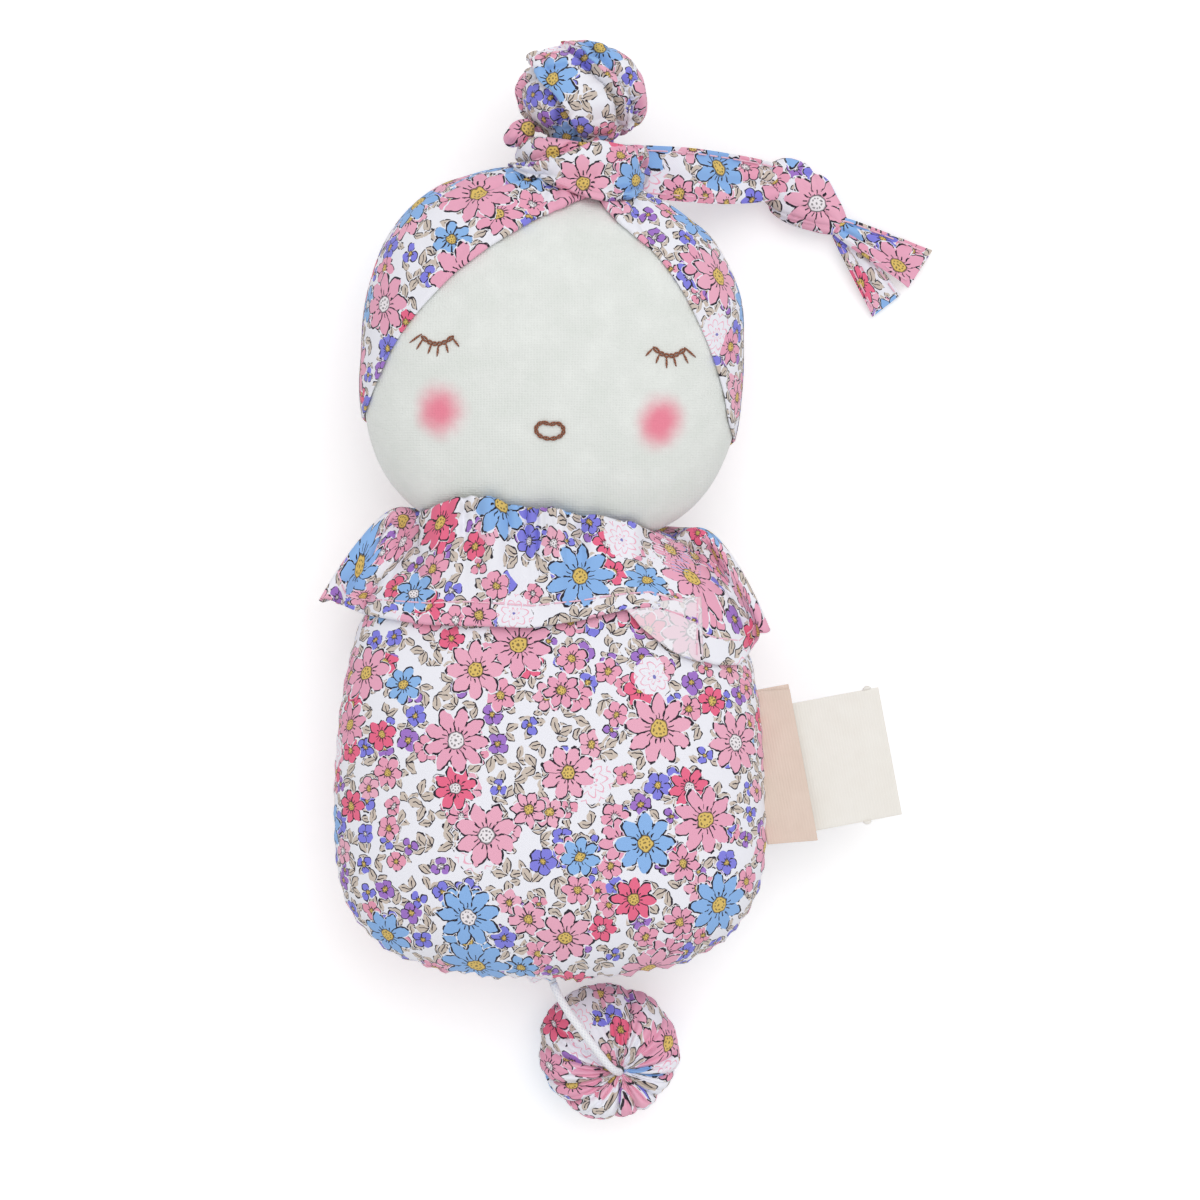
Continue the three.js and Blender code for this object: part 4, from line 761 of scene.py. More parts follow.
# %% [markdown]
# The body's two panels meet in a seam round the side. A seam draws the cloth in, so the panel
# dips just before it and puckers on both sides, most of all along the foot, where the bag was
# closed after filling. The panel is half a sphere carried to the stuffed form, moved in or out
# along its own normal, and then given the cloth's thickness inwards.

# %% Body panels
cloth_thickness = 0.9 * mm
seam_gap = 0.15 * mm
seam_puckers, foot_gathers = 62, 23


def dents(point, size, seed):
    """Soft uneven dents of about that size, the same in each render."""
    return noise.noise(point / size + Vector((seed, 0, 0)))


def stuffed_panel(name, form, place, front, segments, move):
    """Half a ball carried to the form, moved by move(point, spot) along its normal and made as thick
    as cloth. It ends just short of the seam's middle and stays above the table."""
    sign = 1 if front else -1
    lowest = 0.35 * mm - place.translation.z

    def carried(point):
        spot = swollen(form, point)
        spot = spot + outward(form, spot) * move(point, spot)
        spot.z = max(sign * max(abs(spot.z), seam_gap), lowest)
        return place @ spot

    panel = moved_points(half_kept(unit_ball(name, segments, segments // 2), (0, 0, sign)), carried)
    return worked(panel, "SOLIDIFY", thickness=cloth_thickness, offset=-1)


def body_move(point, spot):
    """Puckers along the seam, gathers at the foot and the dip of the seam itself."""
    rise = abs(point.z)
    foot = max(0.0, -point.y) ** 2
    along = atan2(point.y, point.x)
    pucker = sin(along * seam_puckers + 4 * dents(spot, 16 * mm, 5)) * exp(-((rise / 0.2) ** 2))
    move = 0.55 * mm * dents(spot, 24 * mm, 1) + (0.22 + 0.5 * foot) * mm * pucker
    move += 0.5 * mm * foot * sin(along * foot_gathers + 2) * exp(-((rise / 0.38) ** 2))
    return move - 0.8 * mm * exp(-((rise / 0.035) ** 2))


for name, front, cut_at in (("body_front", True, (0, 0)), ("body_back", False, (170, 40))):
    panel = stuffed_panel(name, body_form, body_place, front, 256, body_move)
    in_print(laid_flat(panel, panel_map(body_form, body_place, front, cut_at)), name + "_panel")

# %% [markdown]
# Wads of filling fill each bag. The body's has a pocket for the round case of the movement,
# with a channel for the cord, cut with boolean tools as one would press a case into fibre.

# %% Wads
wad_inset = 2.6 * mm
pocket_radius, pocket_depth = 27 * mm, 33.2 * mm
channel_radius = 1.7 * mm


def wad(name, form, place):
    def lumpy(point):
        return place @ (swollen(form, point, -wad_inset) * (1 + 0.006 * dents(point, 0.12, 2)))
    return moved_points(unit_ball(name, 96, 48), lumpy)


def grown_body(name, grow):
    """The body's form, a little grown, to cut the head with."""
    return moved_points(unit_ball(name, 96, 48), lambda point: body_place @ swollen(body_form, point, grow))


def cut_by(obj, cutter):
    worked(obj, "BOOLEAN", operation="DIFFERENCE", object=cutter, solver="EXACT")
    bpy.data.objects.remove(cutter)
    return obj


body_wad = wad("body_wad", body_form, body_place)
cut_by(body_wad, start("cylinder", "case_pocket", vertices=64, radius=pocket_radius, depth=pocket_depth,
                       location=(0, 6 * mm, seam_height)))
cut_by(body_wad, tube("cord_channel", [[winding[-1], winding[-1].lerp(seam_exit * mm, 1.2)]], channel_radius))
finished(body_wad, "doll", wadding, ["body_stuffing"])

head_wad = cut_by(wad("head_wad", head_form, head_place), grown_body("neck_room", wad_inset))
finished(head_wad, "doll", wadding, ["head_stuffing"])

# %% [markdown]
# The head is a velour bag made the same way. Where it sits on the body it is pressed in and
# sewn down, hidden by the collar, so the body's own form, a little grown, is cut out of it.

# %% Head panels
def head_move(point, spot):
    """Soft dents, and a shallower dip at the seam than the body's."""
    return 0.3 * mm * dents(spot, 20 * mm, 7) - 0.6 * mm * exp(-((abs(point.z) / 0.04) ** 2))


for name, front, node in (("head_front", True, "head_face_panel"), ("head_back", False, "head_back_panel")):
    panel = stuffed_panel(name, head_form, head_place, front, 224, head_move)
    cut_by(panel, grown_body("neck_cut", 0.6 * mm))
    laid_flat(panel, panel_map(head_form, head_place, front, (0, 0)))
    finished(panel, "doll", velour, [node])

# %% [markdown]
# The eyes are closed: a hanging arc with six lashes. They and the mouth are hand embroidery in
# brown thread. The arc and the mouth are chain stitch, one small loop in the next, and a lash
# is one or two straight stitches. Each stitch is a short tube laid on the surface of the face.

# %% Embroidery thread
brown, tree = new_material("brown stranded embroidery cotton")
run = along_cloth(tree)
twist = add(tree, "Math MULTIPLY", run.outputs[1], tau / (0.7 * mm))
twist = add(tree, "Math MULTIPLY_ADD", run.outputs[0], tau / (0.9 * mm), twist)
ply = add(tree, "Math SINE", twist)
colour = add(tree, "ValToRGB", ("MULTIPLY_ADD", ply, 0.5, 0.5), stops=[(0, "54281a"), (1, "b06a45")])
relief = add(tree, "Bump", named={"Strength": 0.6, "Distance": 0.1 * mm, "Height": ply})
skin = add(tree, "BsdfPrincipled",
           named={"Base Color": colour, "Roughness": 0.6, "Sheen Weight": 0.2, "Normal": relief})
add(tree, "OutputMaterial", skin)


def capsule(share):
    """Rounds off both ends of a stitch."""
    return max(0.25, sin(pi * min(max(share, 0.02), 0.98))) ** 0.5


# %% Eyes and mouth
def on_face(x, y, above=0.35):
    """A point just above the face, from its place on the head in millimetres."""
    height = surface_height(head_form, x * mm, y * mm)
    return head_place @ Vector((x * mm, y * mm, height + above * mm))


def stitch(x1, y1, x2, y2, bow=0.25):
    """A stitch between two places on the face, bowed up in its middle."""
    places = []
    for step in range(7):
        share = step / 6
        lift = 0.15 + bow * sin(pi * share)
        places.append(on_face(x1 + (x2 - x1) * share, y1 + (y2 - y1) * share, lift))
    return places


def chain(points, width=0.36):
    """Chain stitch along flat points: each link is two threads that bow apart."""
    links = []
    for (x1, y1), (x2, y2) in zip(points, points[1:]):
        dx, dy = x2 - x1, y2 - y1
        length = hypot(dx, dy)
        side = (-dy / length * width, dx / length * width)
        reach = 1.18
        for way in (1, -1):
            link = []
            for step in range(9):
                share = step / 8
                bow = way * sin(pi * share) ** 0.7
                link.append(on_face(x1 + dx * share * reach + side[0] * bow,
                                    y1 + dy * share * reach + side[1] * bow, 0.3))
            links.append(link)
    return links


eye_places = [(-28.2, 4.7), (28.6, 4.8)]
eye_half = 3.9
lashes = [(-3.8, 1.5, -6.7, -0.7), (-3.5, 0.1, -4.9, -2.3), (-1.2, -0.8, -2.0, -3.3), (0.5, -1.1, 0.3, -3.9),
          (2.3, -0.7, 3.0, -2.9), (4.0, 0.6, 5.6, -1.3)]
thread_lines = []
for side, (x, y) in zip((1, -1), eye_places):
    arc = [(x + eye_half * t, y + 1.9 * t * t - 0.9) for t in (-1.0, -0.62, -0.3, 0.0, 0.3, 0.62, 1.0)]
    thread_lines += chain(arc)
    for x1, y1, x2, y2 in lashes:
        thread_lines.append(stitch(x + side * x1, y + y1, x + side * x2, y + y2))
finished(tube("eyes", thread_lines, 0.28 * mm, sides=8, taper=capsule), "doll", brown)

mouth_middle = (0.6, -15.8)
mouth_points = []
for step in range(13):
    turn = tau * step / 12 + pi / 2
    dip = 0.9 * exp(-((remainder(turn - pi / 2, tau) / 0.35) ** 2))
    mouth_points.append((mouth_middle[0] + 3.5 * cos(turn), mouth_middle[1] + 2.2 * sin(turn) - dip))
finished(tube("mouth", chain(mouth_points, 0.3), 0.25 * mm, sides=8, taper=capsule), "doll", brown)

# %% [markdown]
# The turban is two wraps of the printed cotton, drawn over the head and gathered under the
# topknot. Its front edge is a folded hem that frames the face, and each wrap ends at the nape.
# Cloth that is drawn round a ball like this runs out from one place at the nape, so each wrap is
# a grid of rows that start there: every row goes down inside from the back to the front edge,
# turns over in the round of the hem, and comes back outside. That gives one closed piece of
# cloth with a soft edge, and the pleats are put in where the rows pass near the topknot.

# %% Turban
turban_grow = 0.9 * mm
turban_inner = 0.35 * mm
knot_root = Vector((2.9, 47, 0)) * mm
wrap_pole = Vector((8, -20)) * mm
face_peak = (8, 42.9)
left_edge = [(-0.5, 38.7), (-12.7, 31.4), (-23.9, 22.2), (-32.3, 12.9),
             (-38.7, 3.2), (-42.9, -6.7), (-46.5, -15), (-56, -22)]
right_edge = [(14.9, 36.1), (24.1, 28.7), (31.7, 19.2), (37.9, 7.9),
              (42.1, -2.7), (44.3, -11.5), (47.5, -17), (56, -22)]


def creased(angle, sharp=0.5):
    """A row of round ridges with sharp valleys, from -0.5 to 0.5."""
    return abs(cos(angle / 2)) ** sharp - 0.5


def eased(value, low, high):
    """0 below low, 1 above high and a smooth step between."""
    share = min(max((value - low) / (high - low), 0.0), 1.0)
    return share * share * (3 - 2 * share)


def last_inside(high, halvings, inside):
    """The largest value from 0 to high for which inside(value) holds, found by halving."""
    low = 0.0
    for _ in range(halvings):
        middle = (low + high) / 2
        low, high = (middle, high) if inside(middle) else (low, middle)
    return low


def seam_reach(heading):
    """How far the head's seam is from the nape place in a heading."""
    return last_inside(0.2, 30, lambda away: outline_share(head_form, *(wrap_pole + away * heading)) < 1)


def edge_reach(edge):
    """Angles and distances of the face opening's edge from the nape place."""
    line = smooth_line([Vector((*spot, 0)) * mm for spot in [face_peak, *edge]], 12)
    away = [Vector((spot.x, spot.y)) - wrap_pole for spot in line]
    rows = sorted((atan2(step.y, step.x) % tau, step.length) for step in away)
    return [row[0] for row in rows], [row[1] for row in rows]


def wrap_depth(spot, hem, ending):
    """How much the cloth stands off the head: its thickness, pleats, drape and folded hem."""
    away = spot - knot_root
    around = atan2(away.z, away.x) + 0.22 * dents(spot, 16 * mm, 3)
    near = exp(-max(away.length - 13 * mm, 0) / (17 * mm))
    pleat = creased(around * 24, 0.55) * near * 1.7 * mm
    long_folds = creased(around * 11 + 1.5, 0.4) * exp(-((away.length - 22 * mm) / (20 * mm)) ** 2) * 1.7 * mm
    drape = 0.4 * mm * dents(Vector((away.x * 0.4, away.y, away.z * 0.4)), 13 * mm, 9)
    full = turban_grow + pleat + long_folds + drape + 0.35 * mm * exp(-((hem / (1.6 * mm)) ** 2))
    full = max(full, 0.75 * mm)
    return full + (0.75 * mm - full) * ending


def turban_wrap(name, left, rows=180, columns=150, hem_steps=8):
    """Rows from the nape: each has its inner side, the round of the hem and its outer side."""
    angles, reaches = edge_reach(left_edge if left else right_edge)
    side = -1 if left else 1
    pole = wrap_pole + Vector((side * seam_gap, 0))
    vertices, faces = [], []
    for row in range(rows + 1):
        share = row / rows
        turn = pi / 2 - side * share * pi / 2 * 0.995
        heading = Vector((cos(turn), sin(turn)))
        seam = seam_reach(heading)
        opened = float(np.interp(turn, angles, reaches)) / seam
        first = asin(opened) if opened < 1 else pi - asin(max(2 - opened, 0.3))
        outer, inner = [], []
        hem_run = 0.0
        ending = eased(share, 0.8, 0.97)
        for column in range(columns + 1):
            lean = first + (pi - first) * (column / columns)
            flat = pole + seam * sin(lean) * heading
            sign = 1 if lean <= pi / 2 else -1
            base = Vector((flat.x, flat.y, sign * surface_height(head_form, flat.x, flat.y)))
            if column:
                hem_run += (base - last).length
            last = base
            normal = outward(head_form, base)
            outer.append(base + normal * wrap_depth(base, hem_run, ending))
            inner.append(base + normal * turban_inner)
        along = (inner[0] - inner[1]).normalized()
        middle, half = (outer[0] + inner[0]) / 2, (outer[0] - inner[0]) / 2
        hem = []
        for step in range(1, hem_steps):
            lean = pi * (step / hem_steps - 0.5)
            hem.append(middle + half * sin(lean) + along * half.length * 1.3 * cos(lean))
        vertices += [*reversed(inner), *hem, *outer]
    ring = len(vertices) // (rows + 1)
    for row in range(rows):
        for step in range(ring):
            a, b = row * ring + step, row * ring + (step + 1) % ring
            faces.append((a, b, b + ring, a + ring) if left else (a, a + ring, b + ring, b))
    for row in (0, rows):
        for step in range(ring // 2):
            a, b = row * ring + step, row * ring + ring - 1 - step
            quad = (a, a + 1, b - 1, b)
            if len(set(quad)) > 2:
                faces.append(tuple(dict.fromkeys(quad)))
    low = 0.3 * mm - head_place.translation.z
    for vertex in vertices:
        vertex.z = max(vertex.z, low)
    wrap = new_piece(name, [head_place @ vertex for vertex in vertices], faces)
    edited(wrap, lambda: bpy.ops.mesh.remove_doubles(threshold=2e-5),
           lambda: bpy.ops.mesh.normals_make_consistent(inside=False))
    return laid_flat(wrap, turban_map((60, 95) if left else (230, 130)))


turban_radius = 47.5 * mm
turban_arcs = arc_lengths(head_form) * turban_radius


def turban_map(offset, turned_under=-14 * mm):
    """Measured along the cloth from the crown, on past the seam to where the back begins."""
    back_in = head_place.inverted()

    def flat(corner, centre):
        local, middle = back_in @ corner, back_in @ centre
        arc = section_arc(head_form, local, turban_arcs, turban_grow)
        if middle.z > turned_under:
            arc = arc if local.z >= 0 else 2 * float(turban_arcs[-1]) - arc
            side = 1
        else:
            side = -1
        away = Vector((local.x, local.y)).normalized() * arc
        return (away.x * side + (offset[0] + 150 * (side < 0)) * mm, away.y + offset[1] * mm)
    return flat


for name, left, node in (("turban_left", True, "turban_left_wrap"),
                         ("turban_right", False, "turban_right_wrap")):
    wrap = in_print(turban_wrap(name, left), node)
    print(name, "cloth", round(cloth_area(wrap) / mm ** 2), "mm2")

# %% [markdown]
# The topknot is the rest of the cloth, twisted and tucked into a bun on a stem, with a band wound
# round its foot. Twisted cloth makes a few full folds that lie over each other, and each ends in
# a sharp valley. So every fold is a plane that crosses the piece: the surface dips where the
# plane meets it, and the cloth on one side of the dip stands higher, as the upper layer does.

# %% Folds of twisted cloth
def folded_cloth(point, folds):
    """Each fold: the plane's direction, its place, the valley's depth and the upper layer's step."""
    relief = 0.0
    for direction, place, depth, step in folds:
        across = point.dot(Vector(direction)) - place
        if across > 0:
            relief += step * exp(-across / 0.4) - depth * exp(-across / 0.022)
        else:
            relief -= depth * exp(across / 0.13)
    return relief


# %% Bun
fold_thickness = 0.7 * mm
band_side = 4 * mm
band_high = 56.6 * mm
bun_middle = Vector((3.5, 69.1, 0)) * mm
bun_size = Vector((15.7, 12.4, 15.1)) * mm
bun_folds = [((0.85, 0.52, 0.05), -0.4, 0.22, 0.17), ((0.78, 0.56, -0.29), 0.18, 0.2, 0.1),
             ((0.78, 0.56, -0.29), 0.42, 0.17, 0.08), ((-0.98, -0.12, 0.18), 0.6, 0.1, 0.03),
             ((-0.35, 0.9, 0.25), 0.72, 0.08, 0.02), ((0.2, -0.6, -0.77), 0.35, 0.14, 0.07),
             ((-0.5, 0.3, -0.8), 0.3, 0.16, 0.08), ((0.5, -0.3, -0.8), 0.6, 0.12, 0.06)]


def wandering(ball):
    """A point moved a little, so that the folds it is tested against run unevenly."""
    return ball + 0.1 * Vector((dents(ball, 0.7, 4), dents(ball, 0.7, 14), dents(ball, 0.7, 24)))


def bun_place(point):
    height = point.z
    wide = sqrt(max(0.0, 1 - height * height))
    ball = Vector((point.x, height, -point.y))
    around = atan2(-point.y, point.x)
    fine = creased(9 * around + 13 * height + 2.2 * dents(point, 0.5, 8), 0.8) * 0.03 * wide
    seen_from_above = 0.4 + 0.6 * eased(abs(ball.z), 0.05, 0.55)
    large = folded_cloth(wandering(ball), bun_folds) * min(1.0, 1.4 * wide) * seen_from_above
    swell = 0.99 + large + fine + 0.05 * dents(point, 0.5, 12)
    spot = ball * swell
    return head_place @ (bun_middle + Vector([a * b for a, b in zip(spot, bun_size)]))


def round_map(middle, size, offset):
    """A map laid on the front of a round piece and again on its back, measured along its surface."""
    back_in = head_place.inverted()

    def flat(corner, centre):
        local, side = back_in @ corner - middle, (back_in @ centre - middle).z
        across = hypot(local.x, local.y)
        height = local.z / size.z * size.x
        polar = atan2(across, height if side > 0 else -height)
        arc = polar * hypot(across, height) / max(across, 1e-6)
        turn = 1 if side > 0 else -1
        return (local.x * arc * turn + offset[0] * mm * turn, local.y * arc + offset[1] * mm)
    return flat


def upper_layer(ball, kept, place, flat):
    """A layer of cloth over part of a round piece: the part kept, set off from it and given an edge."""
    moved_points(without(ball, lambda point: not kept(point)), place)
    worked(ball, "SOLIDIFY", thickness=fold_thickness, offset=-1)
    return in_print(laid_flat(ball, flat))


def layer_of_bun(name, direction, place, lift, offset):
    def kept(point):
        front = wandering(Vector((point.x, point.z, -point.y)))
        return front.dot(Vector(direction)) > place and -point.y > 0.03

    def lifted(point):
        spot = bun_place(point)
        middle = head_place @ bun_middle
        return middle + (spot - middle) * lift
    return upper_layer(unit_ball(name, 288, 160), kept, lifted, round_map(bun_middle, bun_size, offset))


stem_start, stem_radius = 8.6 * mm, 8.2 * mm
stem_low, stem_high = head_form["top"] + 3.2 * mm, bun_middle.y - 4 * mm


def stem_place(point):
    turn = atan2(point.y, point.x)
    radius = stem_radius * (1 + 0.05 * creased(9 * turn)) if hypot(point.x, point.y) > 1e-6 else 0
    height = stem_high if point.z > 0 else stem_low
    return head_place @ Vector((band_side + radius * cos(turn), height, radius * sin(turn)))


bun = moved_points(unit_ball("bun", 288, 160), bun_place)
stem = moved_points(start("cylinder", "bun_stem", vertices=48, radius=stem_start, depth=1), stem_place)
worked(bun, "BOOLEAN", operation="UNION", object=stem, solver="EXACT")
bpy.data.objects.remove(stem)
laid_flat(bun, round_map(bun_middle, bun_size, (40, 210)))
in_print(bun, "topknot_bun")
layer_of_bun("bun_middle_layer", (0.85, 0.52, 0.05), -0.38, 1.035, (120, 210))
layer_of_bun("bun_side_layer", (0.78, 0.56, -0.29), 0.2, 1.065, (40, 290))

# %% Tucked end beside the bun
puff_middle = Vector((-11, 58.4, 3)) * mm
puff_turn = Matrix.Rotation(radians(38), 3, "Z")


def two_sided(height, across):
    """A plain map for a small piece: its front and its back come from two places of the cloth."""
    return lambda corner, centre: (corner.x + across, corner.y + (0.02 if centre.z > height else 0.09))


def puff_place(point):
    lean, wide = atan2(point.y, point.x), sqrt(max(0.0, 1 - point.z ** 2))
    swell = 1 + 0.16 * creased(6 * lean + 5 * point.z, 0.6) * wide + 0.16 * dents(point, 0.7, 31)
    spot = puff_turn @ Vector((point.z * 4.1, point.x * 2.9, point.y * 3.6)) * swell
    return head_place @ (puff_middle + spot * mm)


puff = moved_points(unit_ball("bun_tucked_end", 96, 64), puff_place)
in_print(laid_flat(puff, two_sided(head_place.translation.z, 0.42)))

# %% Band round the bun
band_inner, band_outer = 8.7 * mm, 15.5 * mm
band_middle = (band_inner + band_outer) / 2
band_half = (band_outer - band_inner) / 2
ring_radius = 0.25
band_folds = [((-0.55, 0.8, 0.25), 0.42, 0.0, 0.0), ((0.72, -0.69, 0.0), -0.34, 1.8, 3.0),
              ((0.35, -0.93, 0.1), 0.34, 0.9, 0.5), ((-0.9, 0.3, 0.3), 0.62, 1.1, 0.9),
              ((0.3, 0.5, -0.8), 0.3, 1.2, 0.8)]


def crown_height(x, z):
    """How high the turban's crown is under a point of the band, in the head's frame."""
    depth = head_form["depth"] + turban_grow
    wanted = (1 - min(abs(z) / depth, 1) ** section_fullness) ** (1 / section_fullness)
    return last_inside(0.06, 20, lambda y: outline_share(head_form, x, y, turban_grow) < wanted)


def band_place(point, lift=0.0):
    major = atan2(point.y, point.x)
    minor = atan2(point.z, hypot(point.x, point.y) - 1)
    across = copysign(abs(cos(minor)) ** 0.7, cos(minor))
    height = copysign(abs(sin(minor)) ** 0.75, sin(minor))
    ball = Vector((cos(major), 0.75 * height, -sin(major)))
    wavy = ball + 0.1 * Vector((dents(ball, 0.8, 4), dents(ball, 0.8, 14), 0))
    fold = (folded_cloth(wavy, band_folds) + 0.4 * dents(ball, 0.5, 6)) * max(0.0, 0.25 + across) * mm
    radius = band_middle + band_half * across + fold + lift
    x, z = band_side + radius * cos(major), -radius * sin(major)
    share = (height + 1) / 2
    hanging = 2.9 * mm * eased(x, -1 * mm, 13 * mm) * eased(z, -3 * mm, 6 * mm)
    foot = crown_height(x, z) + 0.7 * mm - hanging
    head_end = band_high + (0.7 * sin(major * 2 + 0.6) + 0.5 * max(0.0, fold / mm)) * mm
    y = foot + (head_end - foot) * share
    if z > 0 and outline_share(head_form, x, y, turban_grow) < 1:
        z = max(z, surface_height(head_form, x, y, turban_grow) + 2.4 * mm + lift)
    return head_place @ Vector((x, y, z))


def plain_ring(name):
    return start("torus", name, major_segments=256, minor_segments=64,
                 major_radius=1, minor_radius=ring_radius)


def band_map(offset):
    return round_map(Vector((band_side, 53 * mm, 0)), Vector((16, 10, 16)) * mm, offset)


band = moved_points(plain_ring("band"), band_place)
in_print(laid_flat(band, band_map((300, 60))), "topknot_band")


def on_front_panel(point):
    outer = 1 + ring_radius
    ball = Vector((point.x / outer, 0.75 * point.z / ring_radius, -point.y / outer))
    in_front = ball.z > -0.3 and ball.x > -0.8 and hypot(point.x, point.y) > 0.98
    return in_front and ball.dot(Vector((0.72, -0.69, 0))) > -0.34


upper_layer(plain_ring("band_front_panel"), on_front_panel, lambda point: band_place(point, 1.3 * mm),
            band_map((380, 90)))

# %% [markdown]
# The tie is the band's long end: a ribbon sewn as a flat tube, 13 mm wide, with a pink line of
# topstitching near each edge. It leaves the band's side, droops to the table and is knotted, and
# its two tails are cut aslant. A grid is laid along the line of each, then given its thickness.

# %% Pink sewing thread
pink_thread, tree = new_material("pink polyester sewing thread")
run = along_cloth(tree)
twist = add(tree, "Math MULTIPLY_ADD", run.outputs[1], tau / (0.8 * mm), run.outputs[0])
ply = add(tree, "Math SINE", twist)
relief = add(tree, "Bump", named={"Strength": 0.5, "Distance": 0.06 * mm, "Height": ply})
skin = add(tree, "BsdfPrincipled",
           named={"Base Color": linear("f5c3d5"), "Roughness": 0.5, "Sheen Weight": 0.2, "Normal": relief})
add(tree, "OutputMaterial", skin)
thread_radius = 0.2 * mm


def stitches(line, length=3.2 * mm, gap=0.6 * mm):
    """Cuts a line into short stitches."""
    runs, now, position = [], [], 0.0
    for a, b in zip(line, line[1:]):
        if position % (length + gap) < length:
            now.append(a)
        else:
            runs.append(now)
            now = []
        position += (b - a).length
    return [run for run in runs if len(run) > 1]


# %% Ribbons
up = Vector((0, 0, 1))
tie_start = head_place @ (Vector((19.2, 51.2, -7)) * mm)
knot_at = Vector((tie_start.x + 42.6 * mm, tie_start.y - 5.4 * mm, 5 * mm))
ribbon_thickness = 1.2 * mm


def ribbon(name, line, widths, offset, wave=lambda share: 0.0, slant=0.0, gathers=0.0):
    """A ribbon along a line, and its two rows of topstitching. widths and wave give its width and
    its twist along the line; it is gathered at its start, or at its end if gathers is below 0."""
    rows = []
    for index, point in enumerate(line):
        ahead = (line[min(index + 1, len(line) - 1)] - line[max(index - 1, 0)]).normalized()
        across = up.cross(ahead).normalized()
        normal = ahead.cross(across).normalized()
        share = index / (len(line) - 1)
        rows.append((point, across, normal, widths(share), wave(share)))
    length = float(np.cumsum([(b - a).length for a, b in zip(line, line[1:])])[-1])

    def place(share, up):
        side = up * 2
        index = min(int(round(share * (len(rows) - 1))), len(rows) - 1)
        middle, across, normal, width, twist = rows[index]
        crumple = abs(gathers) * (1 - share if gathers > 0 else share) * sin(side * 7)
        lean = slant * side * max(0.0, share - 0.7) / 0.3
        reach = side * width / 2
        tip = across * (reach * cos(twist)) + normal * (reach * sin(twist) + crumple)
        return middle + tip + across.cross(normal) * lean

    def flat(share, up):
        return (share * length + offset[0] * mm, up * 13 * mm + offset[1] * mm)

    strip = grid_cloth(name, len(rows) - 1, 24, place, flat)
    worked(strip, "SOLIDIFY", thickness=ribbon_thickness, offset=0)
    worked(strip, "BEVEL", width=0.35 * mm, segments=2, limit_method="ANGLE", angle_limit=radians(60))
    edges = []
    for side in (-0.8, 0.8):
        edge = []
        for middle, across, normal, width, twist in rows:
            reach = side * width / 2
            spot = middle + across * (reach * cos(twist)) + normal * (reach * sin(twist))
            edge.append(spot + normal * (ribbon_thickness / 2 + 0.12 * mm))
        edges += stitches(edge)
    return strip, edges


tie_end = tie_start + Vector((35 * mm, -1 * mm, 0))
tie_end.z = knot_at.z + 2.4 * mm
tie_line = smooth_line([tie_start + Vector((-3.5, 0.4, 0)) * mm,
                        tie_start.lerp(tie_end, 0.3) + up * 1.8 * mm,
                        tie_start.lerp(tie_end, 0.65) - up * 0.9 * mm, tie_end], 24)
tie, tie_seams = ribbon("tie", tie_line, lambda t: (12.8 + 1.2 * sin(pi * t) - 4.4 * t ** 4) * mm, (20, 300),
                        wave=lambda t: -0.25 * t, gathers=-0.7 * mm)
in_print(tie, "tie_ribbon")
print("tie cloth", round(cloth_area(tie) / mm ** 2), "mm2")

tail_seams = []
for name, node, heading, lift, slant in (("tail_upper", "tie_end_upper", -27, 0.9, 0.6),
                                         ("tail_lower", "tie_end_lower", -58, -1.2, -0.5)):
    way = Vector((cos(radians(heading)), sin(radians(heading)), 0))
    foot = knot_at + Vector((8.3, -6.8, lift)) * mm
    tip = foot + way * 23.5 * mm
    tip.z = 2.6 * mm if lift > 0 else 1.2 * mm
    middle = foot.lerp(tip, 0.5) + up * 0.5 * mm
    line = smooth_line([foot, middle, tip], 30)
    spread, cut_at = (7.8, (90, 330)) if lift > 0 else (5.6, (150, 300))
    tail, seams = ribbon(name, line, lambda t: (3.6 + spread * t ** 0.8) * mm, cut_at,
                         slant=slant * mm, gathers=0.5 * mm)
    in_print(tail, node)
    print(name, "cloth", round(cloth_area(tail) / mm ** 2), "mm2")
    cloth_area(tail)
    tail_seams += seams
topstitching = tube("tie_topstitching", tie_seams + tail_seams, thread_radius, sides=6)
finished(topstitching, "doll", pink_thread)
cloth_area(tie)

# %% Knot of the tie
knot_turn = Matrix.Rotation(radians(-38), 3, "Z")
knot_folds = [((0.92, -0.38, 0.1), -0.42, 0.14, 0.12), ((-0.3, -0.9, 0.3), 0.1, 0.1, 0.06),
              ((0.8, 0.6, 0), 0.42, 0.12, -0.06), ((0.5, -0.8, -0.3), 0.5, 0.1, 0.05)]


def knot_place(point):
    along, around = point.z, atan2(point.y, point.x)
    wide = sqrt(max(0.0, 1 - along * along))
    ball = Vector((along, point.x, point.y))
    wavy = ball + 0.12 * Vector((dents(ball, 0.6, 5), dents(ball, 0.6, 15), 0))
    folds = folded_cloth(wavy, knot_folds) + 0.13 * creased(8 * around + 6 * along, 0.6)
    wrap = 1 + wide * folds - 0.34 * along
    spot = Vector((13 * along, 6.9 * point.x * wrap, 4.6 * point.y * min(wrap, 1.05))) * mm
    return knot_at + knot_turn @ spot


tie_knot = moved_points(unit_ball("tie_wrap", 128, 64), knot_place)
in_print(laid_flat(tie_knot, two_sided(knot_at.z, 0.4)), "tie_knot")

# %% [markdown]
# The collar is a hemmed strip gathered round the neck. It rises from the seam, rolls over under
# the chin and falls to a hem with a pink line of stitching. Behind and at the sides it stands in
# waves. In front it lies on the chest, its roll rises and falls with the gathers, and its right
# end is turned over, so that the hem drops there and a corner of the wrong side shows.

